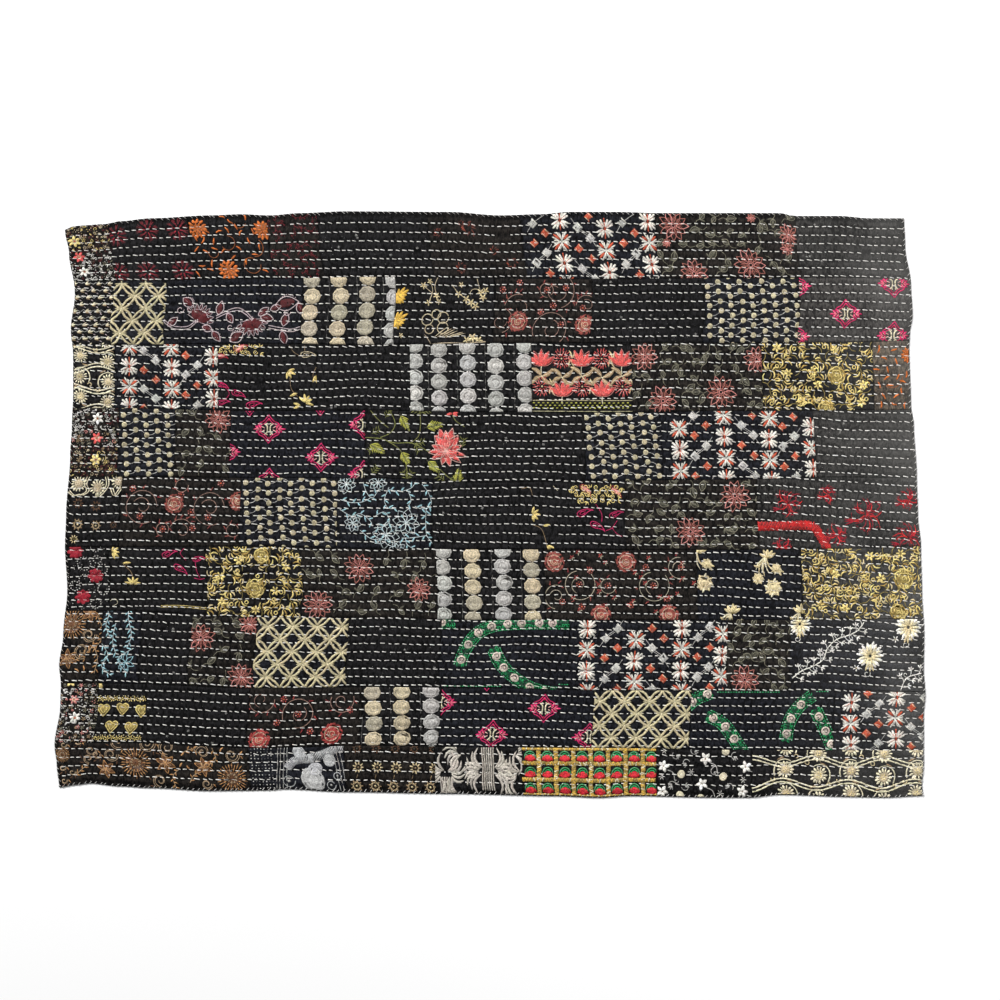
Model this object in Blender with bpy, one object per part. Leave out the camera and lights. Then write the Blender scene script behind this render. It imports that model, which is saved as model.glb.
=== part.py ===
"""Kantha quilt: a patched cotton throw, hand-quilted in long rows and laid out flat.

Metres, +Z up. X runs along the quilt, Y across it, and its underside lies on z = 0.
The cloth is described as it was cut, "along" from its left end and "down" from its top edge,
and then moved to where hand sewing, wear and washing have pulled it.
"""

import bisect
import math
import random

import bmesh
import bpy

# ---------------------------------------------------------------- driving dimensions
CUT_LENGTH = 1.500          # along the quilt, before its edges were pulled out of true
STRIP_HEIGHTS = (0.112, 0.112, 0.115, 0.118, 0.119, 0.121, 0.121, 0.103, 0.077)
CUT_WIDTH = sum(STRIP_HEIGHTS)

ROW_COUNT = 68              # rows of running stitch, top edge to bottom edge
ROW_PITCH = CUT_WIDTH / ROW_COUNT
VALLEY_THICKNESS = 0.0019   # three layers of cotton, pulled down by a row of stitches
CREST_THICKNESS = 0.0031    # the same layers, puffed up between two rows
PUCKER_SPREAD = 0.0005      # how much the crests differ along their rows
COLUMN_COUNT = 24           # stretches along each row

# The rolled edge in section: how far in from the outline, and how high.
HEM_SECTION = (
    # inset, height
    (0.0010, 0.0000),
    (0.0000, 0.0009),
    (0.0009, 0.0019),
)
HEM_FADE = 0.012            # the crests die away over this much cloth beside an edge

# Where the ends of the quilt lie: for a distance down the cloth, how far along X.
LEFT_END = (
    # down, x
    (0.000, -0.732), (0.054, -0.725), (0.135, -0.715), (0.197, -0.722), (0.242, -0.718),
    (0.315, -0.718), (0.369, -0.720), (0.421, -0.723), (0.522, -0.730), (0.573, -0.732),
    (0.659, -0.728), (0.738, -0.735), (0.788, -0.742), (0.821, -0.739), (0.856, -0.740),
    (0.926, -0.750), (0.960, -0.746), (0.998, -0.742),
)
RIGHT_END = (
    # down, x
    (0.000, 0.713), (0.050, 0.715), (0.123, 0.725), (0.177, 0.728), (0.213, 0.723),
    (0.239, 0.722), (0.331, 0.725), (0.365, 0.730), (0.452, 0.735), (0.522, 0.737),
    (0.574, 0.742), (0.649, 0.744), (0.724, 0.748), (0.782, 0.747), (0.823, 0.750),
    (0.859, 0.747), (0.946, 0.747), (0.980, 0.744), (0.998, 0.746),
)

# Where the long edges lie: for a place along X, how far along Y.
TOP_EDGE = (
    # x, y
    (-0.732, 0.473), (-0.715, 0.480), (-0.663, 0.483), (-0.637, 0.488), (-0.585, 0.493),
    (-0.482, 0.498), (-0.430, 0.500), (-0.379, 0.498), (-0.327, 0.502), (-0.250, 0.505),
    (-0.069, 0.504), (0.017, 0.498), (0.086, 0.500), (0.138, 0.504), (0.215, 0.504),
    (0.293, 0.502), (0.499, 0.502), (0.525, 0.497), (0.603, 0.497), (0.654, 0.493),
    (0.713, 0.493),
)
BOTTOM_EDGE = (
    # x, y
    (-0.742, -0.487), (-0.715, -0.483), (-0.689, -0.480), (-0.637, -0.485), (-0.585, -0.488),
    (-0.482, -0.493), (-0.379, -0.492), (-0.353, -0.490), (-0.250, -0.495), (-0.069, -0.498),
    (0.112, -0.502), (0.189, -0.505), (0.241, -0.502), (0.396, -0.505), (0.448, -0.505),
    (0.499, -0.500), (0.629, -0.504), (0.680, -0.505), (0.746, -0.502),
)

# Where the eight seams between the nine strips lie, at eight places along X.
SEAM_STATIONS = (-0.65, -0.40, -0.20, 0.00, 0.20, 0.40, 0.60, 0.73)
SEAM_LINES = (
    (0.385, 0.389, 0.392, 0.390, 0.388, 0.390, 0.391, 0.388),
    (0.275, 0.277, 0.275, 0.278, 0.278, 0.278, 0.279, 0.282),
    (0.166, 0.161, 0.162, 0.159, 0.158, 0.161, 0.162, 0.163),
    (0.048, 0.046, 0.045, 0.038, 0.041, 0.043, 0.047, 0.046),
    (-0.073, -0.072, -0.076, -0.077, -0.078, -0.078, -0.076, -0.072),
    (-0.183, -0.194, -0.196, -0.199, -0.199, -0.199, -0.198, -0.197),
    (-0.308, -0.316, -0.314, -0.316, -0.320, -0.320, -0.320, -0.323),
    (-0.410, -0.419, -0.415, -0.418, -0.419, -0.422, -0.423, -0.423),
)

# Places where the rows drift off the straight, and how far they sink or rise there.
PULLS = (
    # along, down, reach along, reach down, shift down
    (0.790, 0.475, 0.110, 0.070, -0.010),   # a hump near the middle
    (1.550, 0.560, 0.220, 0.150, 0.016),    # a droop towards the right end
    (0.000, 0.650, 0.170, 0.060, 0.010),    # a droop at the left end
    (0.330, 0.330, 0.160, 0.090, 0.004),
    (1.060, 0.700, 0.200, 0.080, 0.005),
    (1.100, 0.120, 0.260, 0.090, -0.005),
)
WANDER = (
    # amplitude, waves along, waves down, phase
    (0.0016, 2.3, 3.1, 0.4),
    (0.0011, 5.7, 1.7, 2.1),
    (0.0007, 11.0, 4.3, 4.0),
)


# ---------------------------------------------------------------- where the cloth lies
def eased(table, place):
    """Read a table of (place, value) rows, easing smoothly from row to row."""
    places = [row[0] for row in table]
    index = min(max(bisect.bisect_right(places, place) - 1, 0), len(table) - 2)
    (start, first), (end, second) = table[index], table[index + 1]
    share = min(max((place - start) / (end - start), 0.0), 1.0)
    return first + (second - first) * share * share * (3.0 - 2.0 * share)


def cross_lines():
    """List (down, line) for the top edge, the eight seams and the bottom edge."""
    lines = [(0.0, TOP_EDGE)]
    down = 0.0
    for height, seam in zip(STRIP_HEIGHTS, SEAM_LINES):
        down += height
        lines.append((down, tuple(zip(SEAM_STATIONS, seam))))
    lines.append((CUT_WIDTH, BOTTOM_EDGE))
    return lines


CROSS_LINES = cross_lines()


def laid(along, down):
    """Move a point of the cut cloth to where it lies."""
    left, right = eased(LEFT_END, down), eased(RIGHT_END, down)
    x = left + (right - left) * along / CUT_LENGTH
    downs = [line[0] for line in CROSS_LINES]
    index = min(max(bisect.bisect_right(downs, down) - 1, 0), len(downs) - 2)
    share = (down - downs[index]) / (downs[index + 1] - downs[index])
    above, below = eased(CROSS_LINES[index][1], x), eased(CROSS_LINES[index + 1][1], x)
    return x, above + (below - above) * share


# ---------------------------------------------------------------- how the rows run
def drift(along, down):
    """How far down the cloth a row has wandered at this place."""
    shift = 0.0
    for centre, middle, reach, depth, amount in PULLS:
        away = ((along - centre) / reach) ** 2 + ((down - middle) / depth) ** 2
        shift += amount * math.exp(-away)
    for amplitude, turns_along, turns_down, phase in WANDER:
        turn = turns_along * along / CUT_LENGTH + turns_down * down / CUT_WIDTH
        shift += amplitude * math.sin(2.0 * math.pi * turn + phase)
    return shift


def row_down(along, row):
    """The distance down the cloth of a place between rows, row 0 being the top edge."""
    even = row * ROW_PITCH
    hold = math.sin(math.pi * even / CUT_WIDTH) ** 0.5
    return even + hold * drift(along, even)


def thickness(along, down, is_crest, chance):
    """The height of the top face: low on a row of stitches, high between two rows."""
    edge = min(along, CUT_LENGTH - along, down, CUT_WIDTH - down)
    fade = min(edge / HEM_FADE, 1.0)
    puff = CREST_THICKNESS - VALLEY_THICKNESS + PUCKER_SPREAD * chance.uniform(-1.0, 1.0)
    return VALLEY_THICKNESS + (fade * puff if is_crest else 0.0)


# ---------------------------------------------------------------- the solid
def hem_ring(mesh, columns, rows, inset, height):
    """One loop of vertices around the quilt, a little in from its outline."""
    def squeezed(place, size):
        return inset + place * (size - 2.0 * inset) / size

    loop = [(along, 0.0) for along in columns]
    loop += [(CUT_LENGTH, down) for down in rows[1:]]
    loop += [(along, CUT_WIDTH) for along in reversed(columns[:-1])]
    loop += [(0.0, down) for down in reversed(rows[1:-1])]
    ring = []
    for along, down in loop:
        x, y = laid(squeezed(along, CUT_LENGTH), squeezed(down, CUT_WIDTH))
        ring.append(mesh.verts.new((x, y, height)))
    return ring


def quilted_face(mesh, columns, chance):
    """The top face: a grid whose lines follow the rows and the crests between them."""
    inset = HEM_SECTION[-1][0]
    last_line = 2 * ROW_COUNT
    grid = []
    for line in range(last_line + 1):
        is_crest = line % 2 == 0 and 0 < line < last_line
        grid_line = []
        for along in columns:
            down = row_down(along, line / 2.0)
            place = inset + along * (CUT_LENGTH - 2.0 * inset) / CUT_LENGTH
            depth = inset + down * (CUT_WIDTH - 2.0 * inset) / CUT_WIDTH
            x, y = laid(place, depth)
            grid_line.append(mesh.verts.new((x, y, thickness(along, down, is_crest, chance))))
        grid.append(grid_line)
    for upper, lower in zip(grid, grid[1:]):
        for column in range(len(columns) - 1):
            mesh.faces.new((upper[column], lower[column], lower[column + 1], upper[column + 1]))
    border = grid[0] + [line[-1] for line in grid[1:]] + grid[-1][-2::-1]
    border += [line[0] for line in grid[-2:0:-1]]
    return border


def join_rings(mesh, lower, upper):
    """Skin the stretch of hem between two loops of vertices."""
    count = len(lower)
    for index in range(count):
        after = (index + 1) % count
        mesh.faces.new((lower[after], lower[index], upper[index], upper[after]))


def quilt_mesh():
    """Close the quilted face, the rolled edge and the flat underside into one body."""
    chance = random.Random(11)
    columns = [CUT_LENGTH * column / COLUMN_COUNT for column in range(COLUMN_COUNT + 1)]
    rows = [ROW_PITCH * line / 2.0 for line in range(2 * ROW_COUNT + 1)]
    mesh = bmesh.new()
    border = quilted_face(mesh, columns, chance)
    rings = [hem_ring(mesh, columns, rows, inset, height) for inset, height in HEM_SECTION[:-1]]
    join_rings(mesh, rings[0], rings[1])
    join_rings(mesh, rings[1], border)
    mesh.faces.new(rings[0])
    bmesh.ops.recalc_face_normals(mesh, faces=mesh.faces)
    data = bpy.data.meshes.new("quilt")
    mesh.to_mesh(data)
    mesh.free()
    data.shade_smooth()
    return data


def cloth_material():
    """Soft black cotton."""
    material = bpy.data.materials.new("quilt_cloth")
    material.use_nodes = True
    shader = material.node_tree.nodes["Principled BSDF"]
    shader.inputs["Base Color"].default_value = (0.013, 0.012, 0.013, 1.0)
    shader.inputs["Roughness"].default_value = 0.9
    shader.inputs["Metallic"].default_value = 0.0
    return material


def build():
    for old in list(bpy.data.objects):
        bpy.data.objects.remove(old, do_unlink=True)
    quilt = bpy.data.objects.new("quilt", quilt_mesh())
    quilt.data.materials.append(cloth_material())
    bpy.context.scene.collection.objects.link(quilt)


build()
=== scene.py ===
"""A kantha quilt laid flat: patches of worn sari cloth, embroidered, under rows of running stitch.

The quilt is described as it was cut, "along" from its left end and "down" from its top edge, and
then moved to where it lies. Embroidery is drawn in millimetres from its patch's top left corner.
"""

import math
import random
from functools import lru_cache

import bmesh
import bpy
import numpy as np
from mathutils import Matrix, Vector


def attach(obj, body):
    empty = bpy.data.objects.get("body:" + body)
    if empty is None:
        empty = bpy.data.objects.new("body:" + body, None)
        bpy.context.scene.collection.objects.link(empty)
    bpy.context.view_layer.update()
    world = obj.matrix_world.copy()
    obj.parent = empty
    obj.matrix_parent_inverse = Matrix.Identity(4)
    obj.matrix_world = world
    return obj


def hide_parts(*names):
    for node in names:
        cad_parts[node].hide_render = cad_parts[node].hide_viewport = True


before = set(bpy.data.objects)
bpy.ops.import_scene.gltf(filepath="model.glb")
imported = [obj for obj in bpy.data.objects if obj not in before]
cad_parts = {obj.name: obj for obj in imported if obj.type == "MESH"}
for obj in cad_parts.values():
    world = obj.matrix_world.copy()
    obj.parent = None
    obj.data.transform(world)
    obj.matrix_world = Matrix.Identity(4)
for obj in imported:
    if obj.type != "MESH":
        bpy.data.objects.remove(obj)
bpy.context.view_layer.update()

MM = 0.001

# ---------------------------------------------------------------- the quilt's lie
# The outline, the seams and the thicknesses are those of the CAD.
CUT_LENGTH = 1.500
STRIP_HEIGHTS = (0.112, 0.112, 0.115, 0.118, 0.119, 0.121, 0.121, 0.103, 0.077)
CUT_WIDTH = sum(STRIP_HEIGHTS)
SEAM_DOWNS = np.concatenate(([0.0], np.cumsum(STRIP_HEIGHTS)))

ROW_COUNT = 68              # rows of running stitch, top edge to bottom edge
ROW_PITCH = CUT_WIDTH / ROW_COUNT
VALLEY_THICKNESS = 0.0019   # the quilt, pulled down by a row of stitches
CREST_THICKNESS = 0.0031    # the quilt, puffed up between two rows
HEM_FADE = 0.012            # the crests die away over this much cloth beside an edge

LEFT_END = (
    # down, x
    (0.000, -0.732), (0.054, -0.725), (0.135, -0.715), (0.197, -0.722), (0.242, -0.718),
    (0.315, -0.718), (0.369, -0.720), (0.421, -0.723), (0.522, -0.730), (0.573, -0.732),
    (0.659, -0.728), (0.738, -0.735), (0.788, -0.742), (0.821, -0.739), (0.856, -0.740),
    (0.926, -0.750), (0.960, -0.746), (0.998, -0.742),
)
RIGHT_END = (
    # down, x
    (0.000, 0.713), (0.050, 0.715), (0.123, 0.725), (0.177, 0.728), (0.213, 0.723),
    (0.239, 0.722), (0.331, 0.725), (0.365, 0.730), (0.452, 0.735), (0.522, 0.737),
    (0.574, 0.742), (0.649, 0.744), (0.724, 0.748), (0.782, 0.747), (0.823, 0.750),
    (0.859, 0.747), (0.946, 0.747), (0.980, 0.744), (0.998, 0.746),
)
TOP_EDGE = (
    # x, y
    (-0.732, 0.473), (-0.715, 0.480), (-0.663, 0.483), (-0.637, 0.488), (-0.585, 0.493),
    (-0.482, 0.498), (-0.430, 0.500), (-0.379, 0.498), (-0.327, 0.502), (-0.250, 0.505),
    (-0.069, 0.504), (0.017, 0.498), (0.086, 0.500), (0.138, 0.504), (0.215, 0.504),
    (0.293, 0.502), (0.499, 0.502), (0.525, 0.497), (0.603, 0.497), (0.654, 0.493),
    (0.713, 0.493),
)
BOTTOM_EDGE = (
    # x, y
    (-0.742, -0.487), (-0.715, -0.483), (-0.689, -0.480), (-0.637, -0.485), (-0.585, -0.488),
    (-0.482, -0.493), (-0.379, -0.492), (-0.353, -0.490), (-0.250, -0.495), (-0.069, -0.498),
    (0.112, -0.502), (0.189, -0.505), (0.241, -0.502), (0.396, -0.505), (0.448, -0.505),
    (0.499, -0.500), (0.629, -0.504), (0.680, -0.505), (0.746, -0.502),
)
SEAM_STATIONS = (-0.65, -0.40, -0.20, 0.00, 0.20, 0.40, 0.60, 0.73)
SEAM_LINES = (
    (0.385, 0.389, 0.392, 0.390, 0.388, 0.390, 0.391, 0.388),
    (0.275, 0.277, 0.275, 0.278, 0.278, 0.278, 0.279, 0.282),
    (0.166, 0.161, 0.162, 0.159, 0.158, 0.161, 0.162, 0.163),
    (0.048, 0.046, 0.045, 0.038, 0.041, 0.043, 0.047, 0.046),
    (-0.073, -0.072, -0.076, -0.077, -0.078, -0.078, -0.076, -0.072),
    (-0.183, -0.194, -0.196, -0.199, -0.199, -0.199, -0.198, -0.197),
    (-0.308, -0.316, -0.314, -0.316, -0.320, -0.320, -0.320, -0.323),
    (-0.410, -0.419, -0.415, -0.418, -0.419, -0.422, -0.423, -0.423),
)
CROSS_LINES = [TOP_EDGE] + [tuple(zip(SEAM_STATIONS, seam)) for seam in SEAM_LINES]
CROSS_LINES.append(BOTTOM_EDGE)

PULLS = (
    # along, down, reach along, reach down, shift down; the second shifts less in the CAD
    (0.790, 0.475, 0.110, 0.070, -0.010),
    (1.560, 0.560, 0.260, 0.260, 0.034),
    (0.000, 0.650, 0.170, 0.060, 0.010),
    (0.330, 0.330, 0.160, 0.090, 0.004),
    (1.060, 0.700, 0.200, 0.080, 0.005),
    (1.100, 0.120, 0.260, 0.090, -0.005),
)
WANDER = (
    # amplitude, waves along, waves down, phase
    (0.0016, 2.3, 3.1, 0.4),
    (0.0011, 5.7, 1.7, 2.1),
    (0.0007, 11.0, 4.3, 4.0),
)

CROWDING = (
    # rows from the top edge, how far down the rows there are drawn
    (0.0, 0.0), (1.5, -0.0025), (2.5, -0.0015), (4.5, 0.0),
    (63.5, 0.0), (65.5, 0.0012), (66.5, 0.0025), (68.0, 0.0),
)


def eased(table, place):
    """Read a table of (place, value) rows, easing smoothly from row to row."""
    places, values = np.array(table).T
    index = np.clip(np.searchsorted(places, place, "right") - 1, 0, len(places) - 2)
    share = np.clip((place - places[index]) / (places[index + 1] - places[index]), 0.0, 1.0)
    return values[index] + (values[index + 1] - values[index]) * share**2 * (3.0 - 2.0 * share)


def laid(along, down):
    """Move points of the cut cloth to where they lie."""
    left, right = eased(LEFT_END, down), eased(RIGHT_END, down)
    x = left + (right - left) * along / CUT_LENGTH
    strip = np.clip(np.searchsorted(SEAM_DOWNS, down, "right") - 1, 0, len(STRIP_HEIGHTS) - 1)
    lines = np.array([eased(line, x) for line in CROSS_LINES])
    places = np.arange(len(x))
    above, below = lines[strip, places], lines[strip + 1, places]
    share = (down - SEAM_DOWNS[strip]) / (SEAM_DOWNS[strip + 1] - SEAM_DOWNS[strip])
    return x, above + (below - above) * share


def drift(along, down):
    """How far down the cloth a row has wandered at this place."""
    shift = 0.0
    for centre, middle, reach, depth, amount in PULLS:
        away = ((along - centre) / reach) ** 2 + ((down - middle) / depth) ** 2
        shift = shift + amount * np.exp(-away)
    for amplitude, turns_along, turns_down, phase in WANDER:
        turn = turns_along * along / CUT_LENGTH + turns_down * down / CUT_WIDTH
        shift = shift + amplitude * np.sin(2.0 * np.pi * turn + phase)
    return shift


def held_drift(along, even):
    """The drift of a row, held back near the top and bottom edges."""
    across = np.clip(even / CUT_WIDTH, 0.0, 1.0)
    crowding = eased(CROWDING, across * ROW_COUNT)
    return np.sin(np.pi * across) ** 0.5 * drift(along, even) + crowding


def row_down(along, row):
    """How far down a row lies: stitches on the halves, crests on the whole numbers."""
    even = row * ROW_PITCH
    return even + held_drift(along, even)


ROUNDS = 7                  # of guessing where a place came from, each closer than the last


def row_at(along, down):
    """Which row a place lies on, the other way about."""
    even = down
    for _ in range(ROUNDS):
        even = down - held_drift(along, even)
    return even / ROW_PITCH


# ---------------------------------------------------------------- the quilted face
GATHERS = (
    # length of one gather, height, how much it slips from row to row
    (0.0121, 0.00042, 1.7),
    (0.0193, 0.00026, 2.6),
    (0.0470, 0.00016, 0.9),
)
GATHER_STRAY = 1.3          # how far the gathers of one crest stray from an even slip
CREST_SHARPNESS = 1.2


def top_height(along, down):
    """How high the quilted face stands: low at the stitches, puffed and gathered between."""
    row = row_at(along, down)
    crest = np.floor(row + 0.5)
    puff = CREST_THICKNESS - VALLEY_THICKNESS
    for length, height, slip in GATHERS:
        stray = GATHER_STRAY * np.sin(slip * crest)
        turn = 2.0 * np.pi * along / length + slip * crest + stray
        puff = puff + height * np.sin(turn)
    edge = np.minimum(np.minimum(along, CUT_LENGTH - along), np.minimum(down, CUT_WIDTH - down))
    fade = np.clip(edge / HEM_FADE, 0.0, 1.0)
    return VALLEY_THICKNESS + fade * puff * np.abs(np.cos(np.pi * row)) ** CREST_SHARPNESS


# ---------------------------------------------------------------- meshes from arrays
def mesh_of(name, points, faces):
    """A mesh from lists of points and faces."""
    data = bpy.data.meshes.new(name)
    data.from_pydata(points, [], faces)
    return data


def new_piece(data, material):
    """Show a mesh as a piece that rides on the quilt's one body."""
    data.materials.append(material)
    data.shade_smooth()
    piece = bpy.data.objects.new(data.name, data)
    bpy.context.scene.collection.objects.link(piece)
    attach(piece, "root")
    return piece


def skin(lower, upper):
    """Faces between two closed loops of vertex numbers."""
    count = len(lower)
    after = [(index + 1) % count for index in range(count)]
    return [(lower[b], lower[a], upper[a], upper[b]) for a, b in enumerate(after)]


def grid_faces(rows, columns):
    """Faces of a grid, seen from above with its rows running down."""
    corner = (np.arange(rows - 1)[:, None] * columns + np.arange(columns - 1)).ravel()
    return np.stack([corner, corner + columns, corner + columns + 1, corner + 1], 1).tolist()


def grid_border(rows, columns):
    """The vertex numbers round a grid, starting along its first row."""
    numbers = np.arange(rows * columns).reshape(rows, columns)
    sides = (numbers[0], numbers[1:, -1], numbers[-1, -2::-1], numbers[-2:0:-1, 0])
    return np.concatenate(sides).tolist()


# ---------------------------------------------------------------- materials
def tint(red, green, blue):
    """A colour given as display values from 0 to 255, as the shader wants it."""
    return tuple(((value / 255.0 + 0.055) / 1.055) ** 2.4 for value in (red, green, blue))


CLOTH_ROUGHNESS = 0.5
CLOTH_SPECULAR = 0.07


def new_material(name, roughness, specular):
    """A material, its node tree and its shader."""
    material = bpy.data.materials.new(name)
    material.use_nodes = True
    shader = material.node_tree.nodes["Principled BSDF"]
    shader.inputs["Roughness"].default_value = roughness
    shader.inputs["Specular IOR Level"].default_value = specular
    return material, material.node_tree, shader


def add_node(tree, kind, inputs=(), **settings):
    """Add a node, set its properties, and link or set its inputs by name or number."""
    node = tree.nodes.new(kind)
    for name, value in settings.items():
        setattr(node, name, value)
    for name, value in dict(inputs).items():
        if isinstance(value, bpy.types.NodeSocket):
            tree.links.new(value, node.inputs[name])
        else:
            node.inputs[name].default_value = value
    return node


def ramp(tree, value, start, end, first, last, **settings):
    """A value moved from one range to another."""
    return add_node(tree, "ShaderNodeMapRange", {
        "Value": value, "From Min": start, "From Max": end, "To Min": first, "To Max": last},
        **settings).outputs["Result"]


def arithmetic(tree, operation, *values, **settings):
    """The result of one operation on one or two values."""
    return add_node(tree, "ShaderNodeMath", enumerate(values), operation=operation,
                    **settings).outputs["Value"]


def noise(tree, place, scale, detail, roughness=0.5):
    """Cloudy values about a half, over the place given."""
    return add_node(tree, "ShaderNodeTexNoise", {
        "Vector": place, "Scale": scale, "Detail": detail,
        "Roughness": roughness}).outputs["Fac"]


def bumped(tree, height, strength, distance, **under):
    """Normals that follow a height, over those of another bump if one is given."""
    return add_node(tree, "ShaderNodeBump", {
        "Height": height, "Strength": strength, "Distance": distance, **under}).outputs["Normal"]


def mixed(tree, share, first, second):
    """A colour between two others."""
    return add_node(tree, "ShaderNodeMix", {"Factor": share, "A": first, "B": second},
                    data_type="RGBA").outputs["Result"]


# a painted sheen: the cloth is painted paler towards its right end, where the window light glances
# off it
SHEEN_COLOUR = (128, 127, 124)
SHEEN_STARTS = 0.42          # along X, where the painted sheen of the window light begins
SHEEN_ENDS = 0.76


def painted_sheen(tree, place):
    """How much painted sheen of the window light lies on the cloth, from none to most at the right
    end.
    """
    along = add_node(tree, "ShaderNodeSeparateXYZ", {"Vector": place}).outputs["X"]
    share = ramp(tree, along, SHEEN_STARTS, SHEEN_ENDS, 0.0, 1.0)
    most = ramp(tree, noise(tree, place, 7.0, 2.0), 0.35, 0.65, 0.14, 0.42)
    return arithmetic(tree, "MULTIPLY", arithmetic(tree, "POWER", share, 2.0), most)


PALEST_ABOVE_CREST = 0.0006             # the cloth is darker in the valleys as painted shade, and palest from wear this far above the plain height of a crest
CREASE_SCALE = 330.0
WEAVE_SCALE = 330.0


def cloth_material(name, dark, pale):
    """Worn cotton: painted shade in the valleys and creases, worn pale on the crests, painted sheen
    to the right, plain weave.
    """
    material, tree, shader = new_material(name, CLOTH_ROUGHNESS, CLOTH_SPECULAR)
    place = add_node(tree, "ShaderNodeTexCoord").outputs["Object"]
    height = add_node(tree, "ShaderNodeSeparateXYZ", {"Vector": place}).outputs["Z"]
    # painted shade: the lower the cloth lies, down where the stitches draw it in, the darker it is
    # painted; the crests are worn pale
    shade_and_wear = ramp(tree, height, VALLEY_THICKNESS, CREST_THICKNESS + PALEST_ABOVE_CREST, 0.0, 0.50)
    stretched = add_node(tree, "ShaderNodeMapping", {"Vector": place, "Scale": (1.0, 0.4, 1.0)})
    creases = noise(tree, stretched.outputs["Vector"], CREASE_SCALE, 4.0, 0.65)
    # painted shade and highlight: the height that bumps the creases also darkens the cloth in their
    # hollows and lightens it on their tops
    crease_shade = ramp(tree, creases, 0.36, 0.68, -0.30, 0.42, clamp=False)
    patchy = ramp(tree, noise(tree, place, 14.0, 4.0), 0.3, 0.7, -0.10, 0.14)
    amount = arithmetic(tree, "ADD", arithmetic(tree, "ADD", shade_and_wear, crease_shade), patchy,
                        use_clamp=True)
    colour = mixed(tree, amount, (*dark, 1.0), (*pale, 1.0))
    # painted sheen towards the right end
    sheened = mixed(tree, painted_sheen(tree, place), colour, (*tint(*SHEEN_COLOUR), 1.0))
    tree.links.new(sheened, shader.inputs["Base Color"])
    threads = [add_node(tree, "ShaderNodeTexWave", {
        "Vector": place, "Scale": WEAVE_SCALE, "Distortion": 1.5},
        bands_direction=direction).outputs["Fac"] for direction in "XY"]
    weave = bumped(tree, arithmetic(tree, "MULTIPLY", *threads), 0.4, 0.0003)
    tree.links.new(bumped(tree, creases, 1.0, 0.0040, Normal=weave), shader.inputs["Normal"])
    return material


FUZZ_SCALE = 480.0


def thread_material(name, roughness, specular, turns, speckle):
    """Cotton thread: its tint, with painted shade at each strand's roots, is held by the mesh, and
    fine turns run across each strand.
    """
    material, tree, shader = new_material(name, roughness, specular)
    colour = add_node(tree, "ShaderNodeAttribute", attribute_name="tint").outputs["Color"]
    strand = add_node(tree, "ShaderNodeAttribute", attribute_name="strand").outputs["Fac"]
    twist = arithmetic(tree, "SINE", arithmetic(tree, "MULTIPLY", strand, turns))
    place = add_node(tree, "ShaderNodeTexCoord").outputs["Object"]
    fuzz = noise(tree, place, FUZZ_SCALE, 3.0, 0.7)
    shade = ramp(tree, fuzz, 0.34, 0.66, 1.0 - speckle, 1.0 + 0.6 * speckle)
    speckled = add_node(tree, "ShaderNodeVectorMath", {0: colour, "Scale": shade},
                        operation="SCALE")
    tree.links.new(speckled.outputs["Vector"], shader.inputs["Base Color"])
    tree.links.new(bumped(tree, twist, 0.5, 0.0002), shader.inputs["Normal"])
    return material


CLOTHS = {
    # name: display colours of the cloth in the valleys, darkened as painted shade, and on the
    # crests, worn pale
    "black": ((3, 3, 3), (46, 45, 47)),
    "blue_black": ((4, 4, 7), (46, 48, 56)),
    "brown_black": ((6, 5, 5), (56, 51, 47)),
    # these paler cloths lie only at the right ends of the strips: their colours are partly the
    # cloths' own and partly painted sheen
    "charcoal": ((16, 16, 16), (80, 78, 76)),
    "pale_charcoal": ((28, 26, 26), (98, 95, 92)),
    "faded_brown": ((42, 37, 32), (138, 122, 104)),
}
CLOTH_MATERIALS = {
    name: cloth_material("cloth_" + name, tint(*dark), tint(*pale))
    for name, (dark, pale) in CLOTHS.items()
}
STITCH_MATERIAL = thread_material("running_thread", 0.75, 0.25, 2500.0, 0.22)
WORK_MATERIAL = thread_material("embroidery_thread", 0.6, 0.3, 6000.0, 0.55)

# ---------------------------------------------------------------- the back of the quilt
BACK_STEP = 0.012
BACK_DIMPLE = 0.0005        # how far the stitches draw the back up off the floor
RIM = (
    # inset, height
    (0.0004, 0.0004), (0.0000, 0.0010), (0.0003, 0.0016), (0.0009, 0.0019), (0.0016, 0.0014),
)


def rim_ring(columns, rows, inset, height):
    """One loop of points round the quilt, a little in from its outline."""
    count_along, count_down = len(columns), len(rows)
    along = np.concatenate((columns, np.full(count_down - 1, CUT_LENGTH), columns[-2::-1],
                            np.zeros(count_down - 2)))
    down = np.concatenate((np.zeros(count_along), rows[1:], np.full(count_along - 1, CUT_WIDTH),
                           rows[-2:0:-1]))
    along = inset + along * (CUT_LENGTH - 2.0 * inset) / CUT_LENGTH
    down = inset + down * (CUT_WIDTH - 2.0 * inset) / CUT_WIDTH
    x, y = laid(along, down)
    return np.stack((x, y, np.full(len(x), height)), 1)


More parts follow.
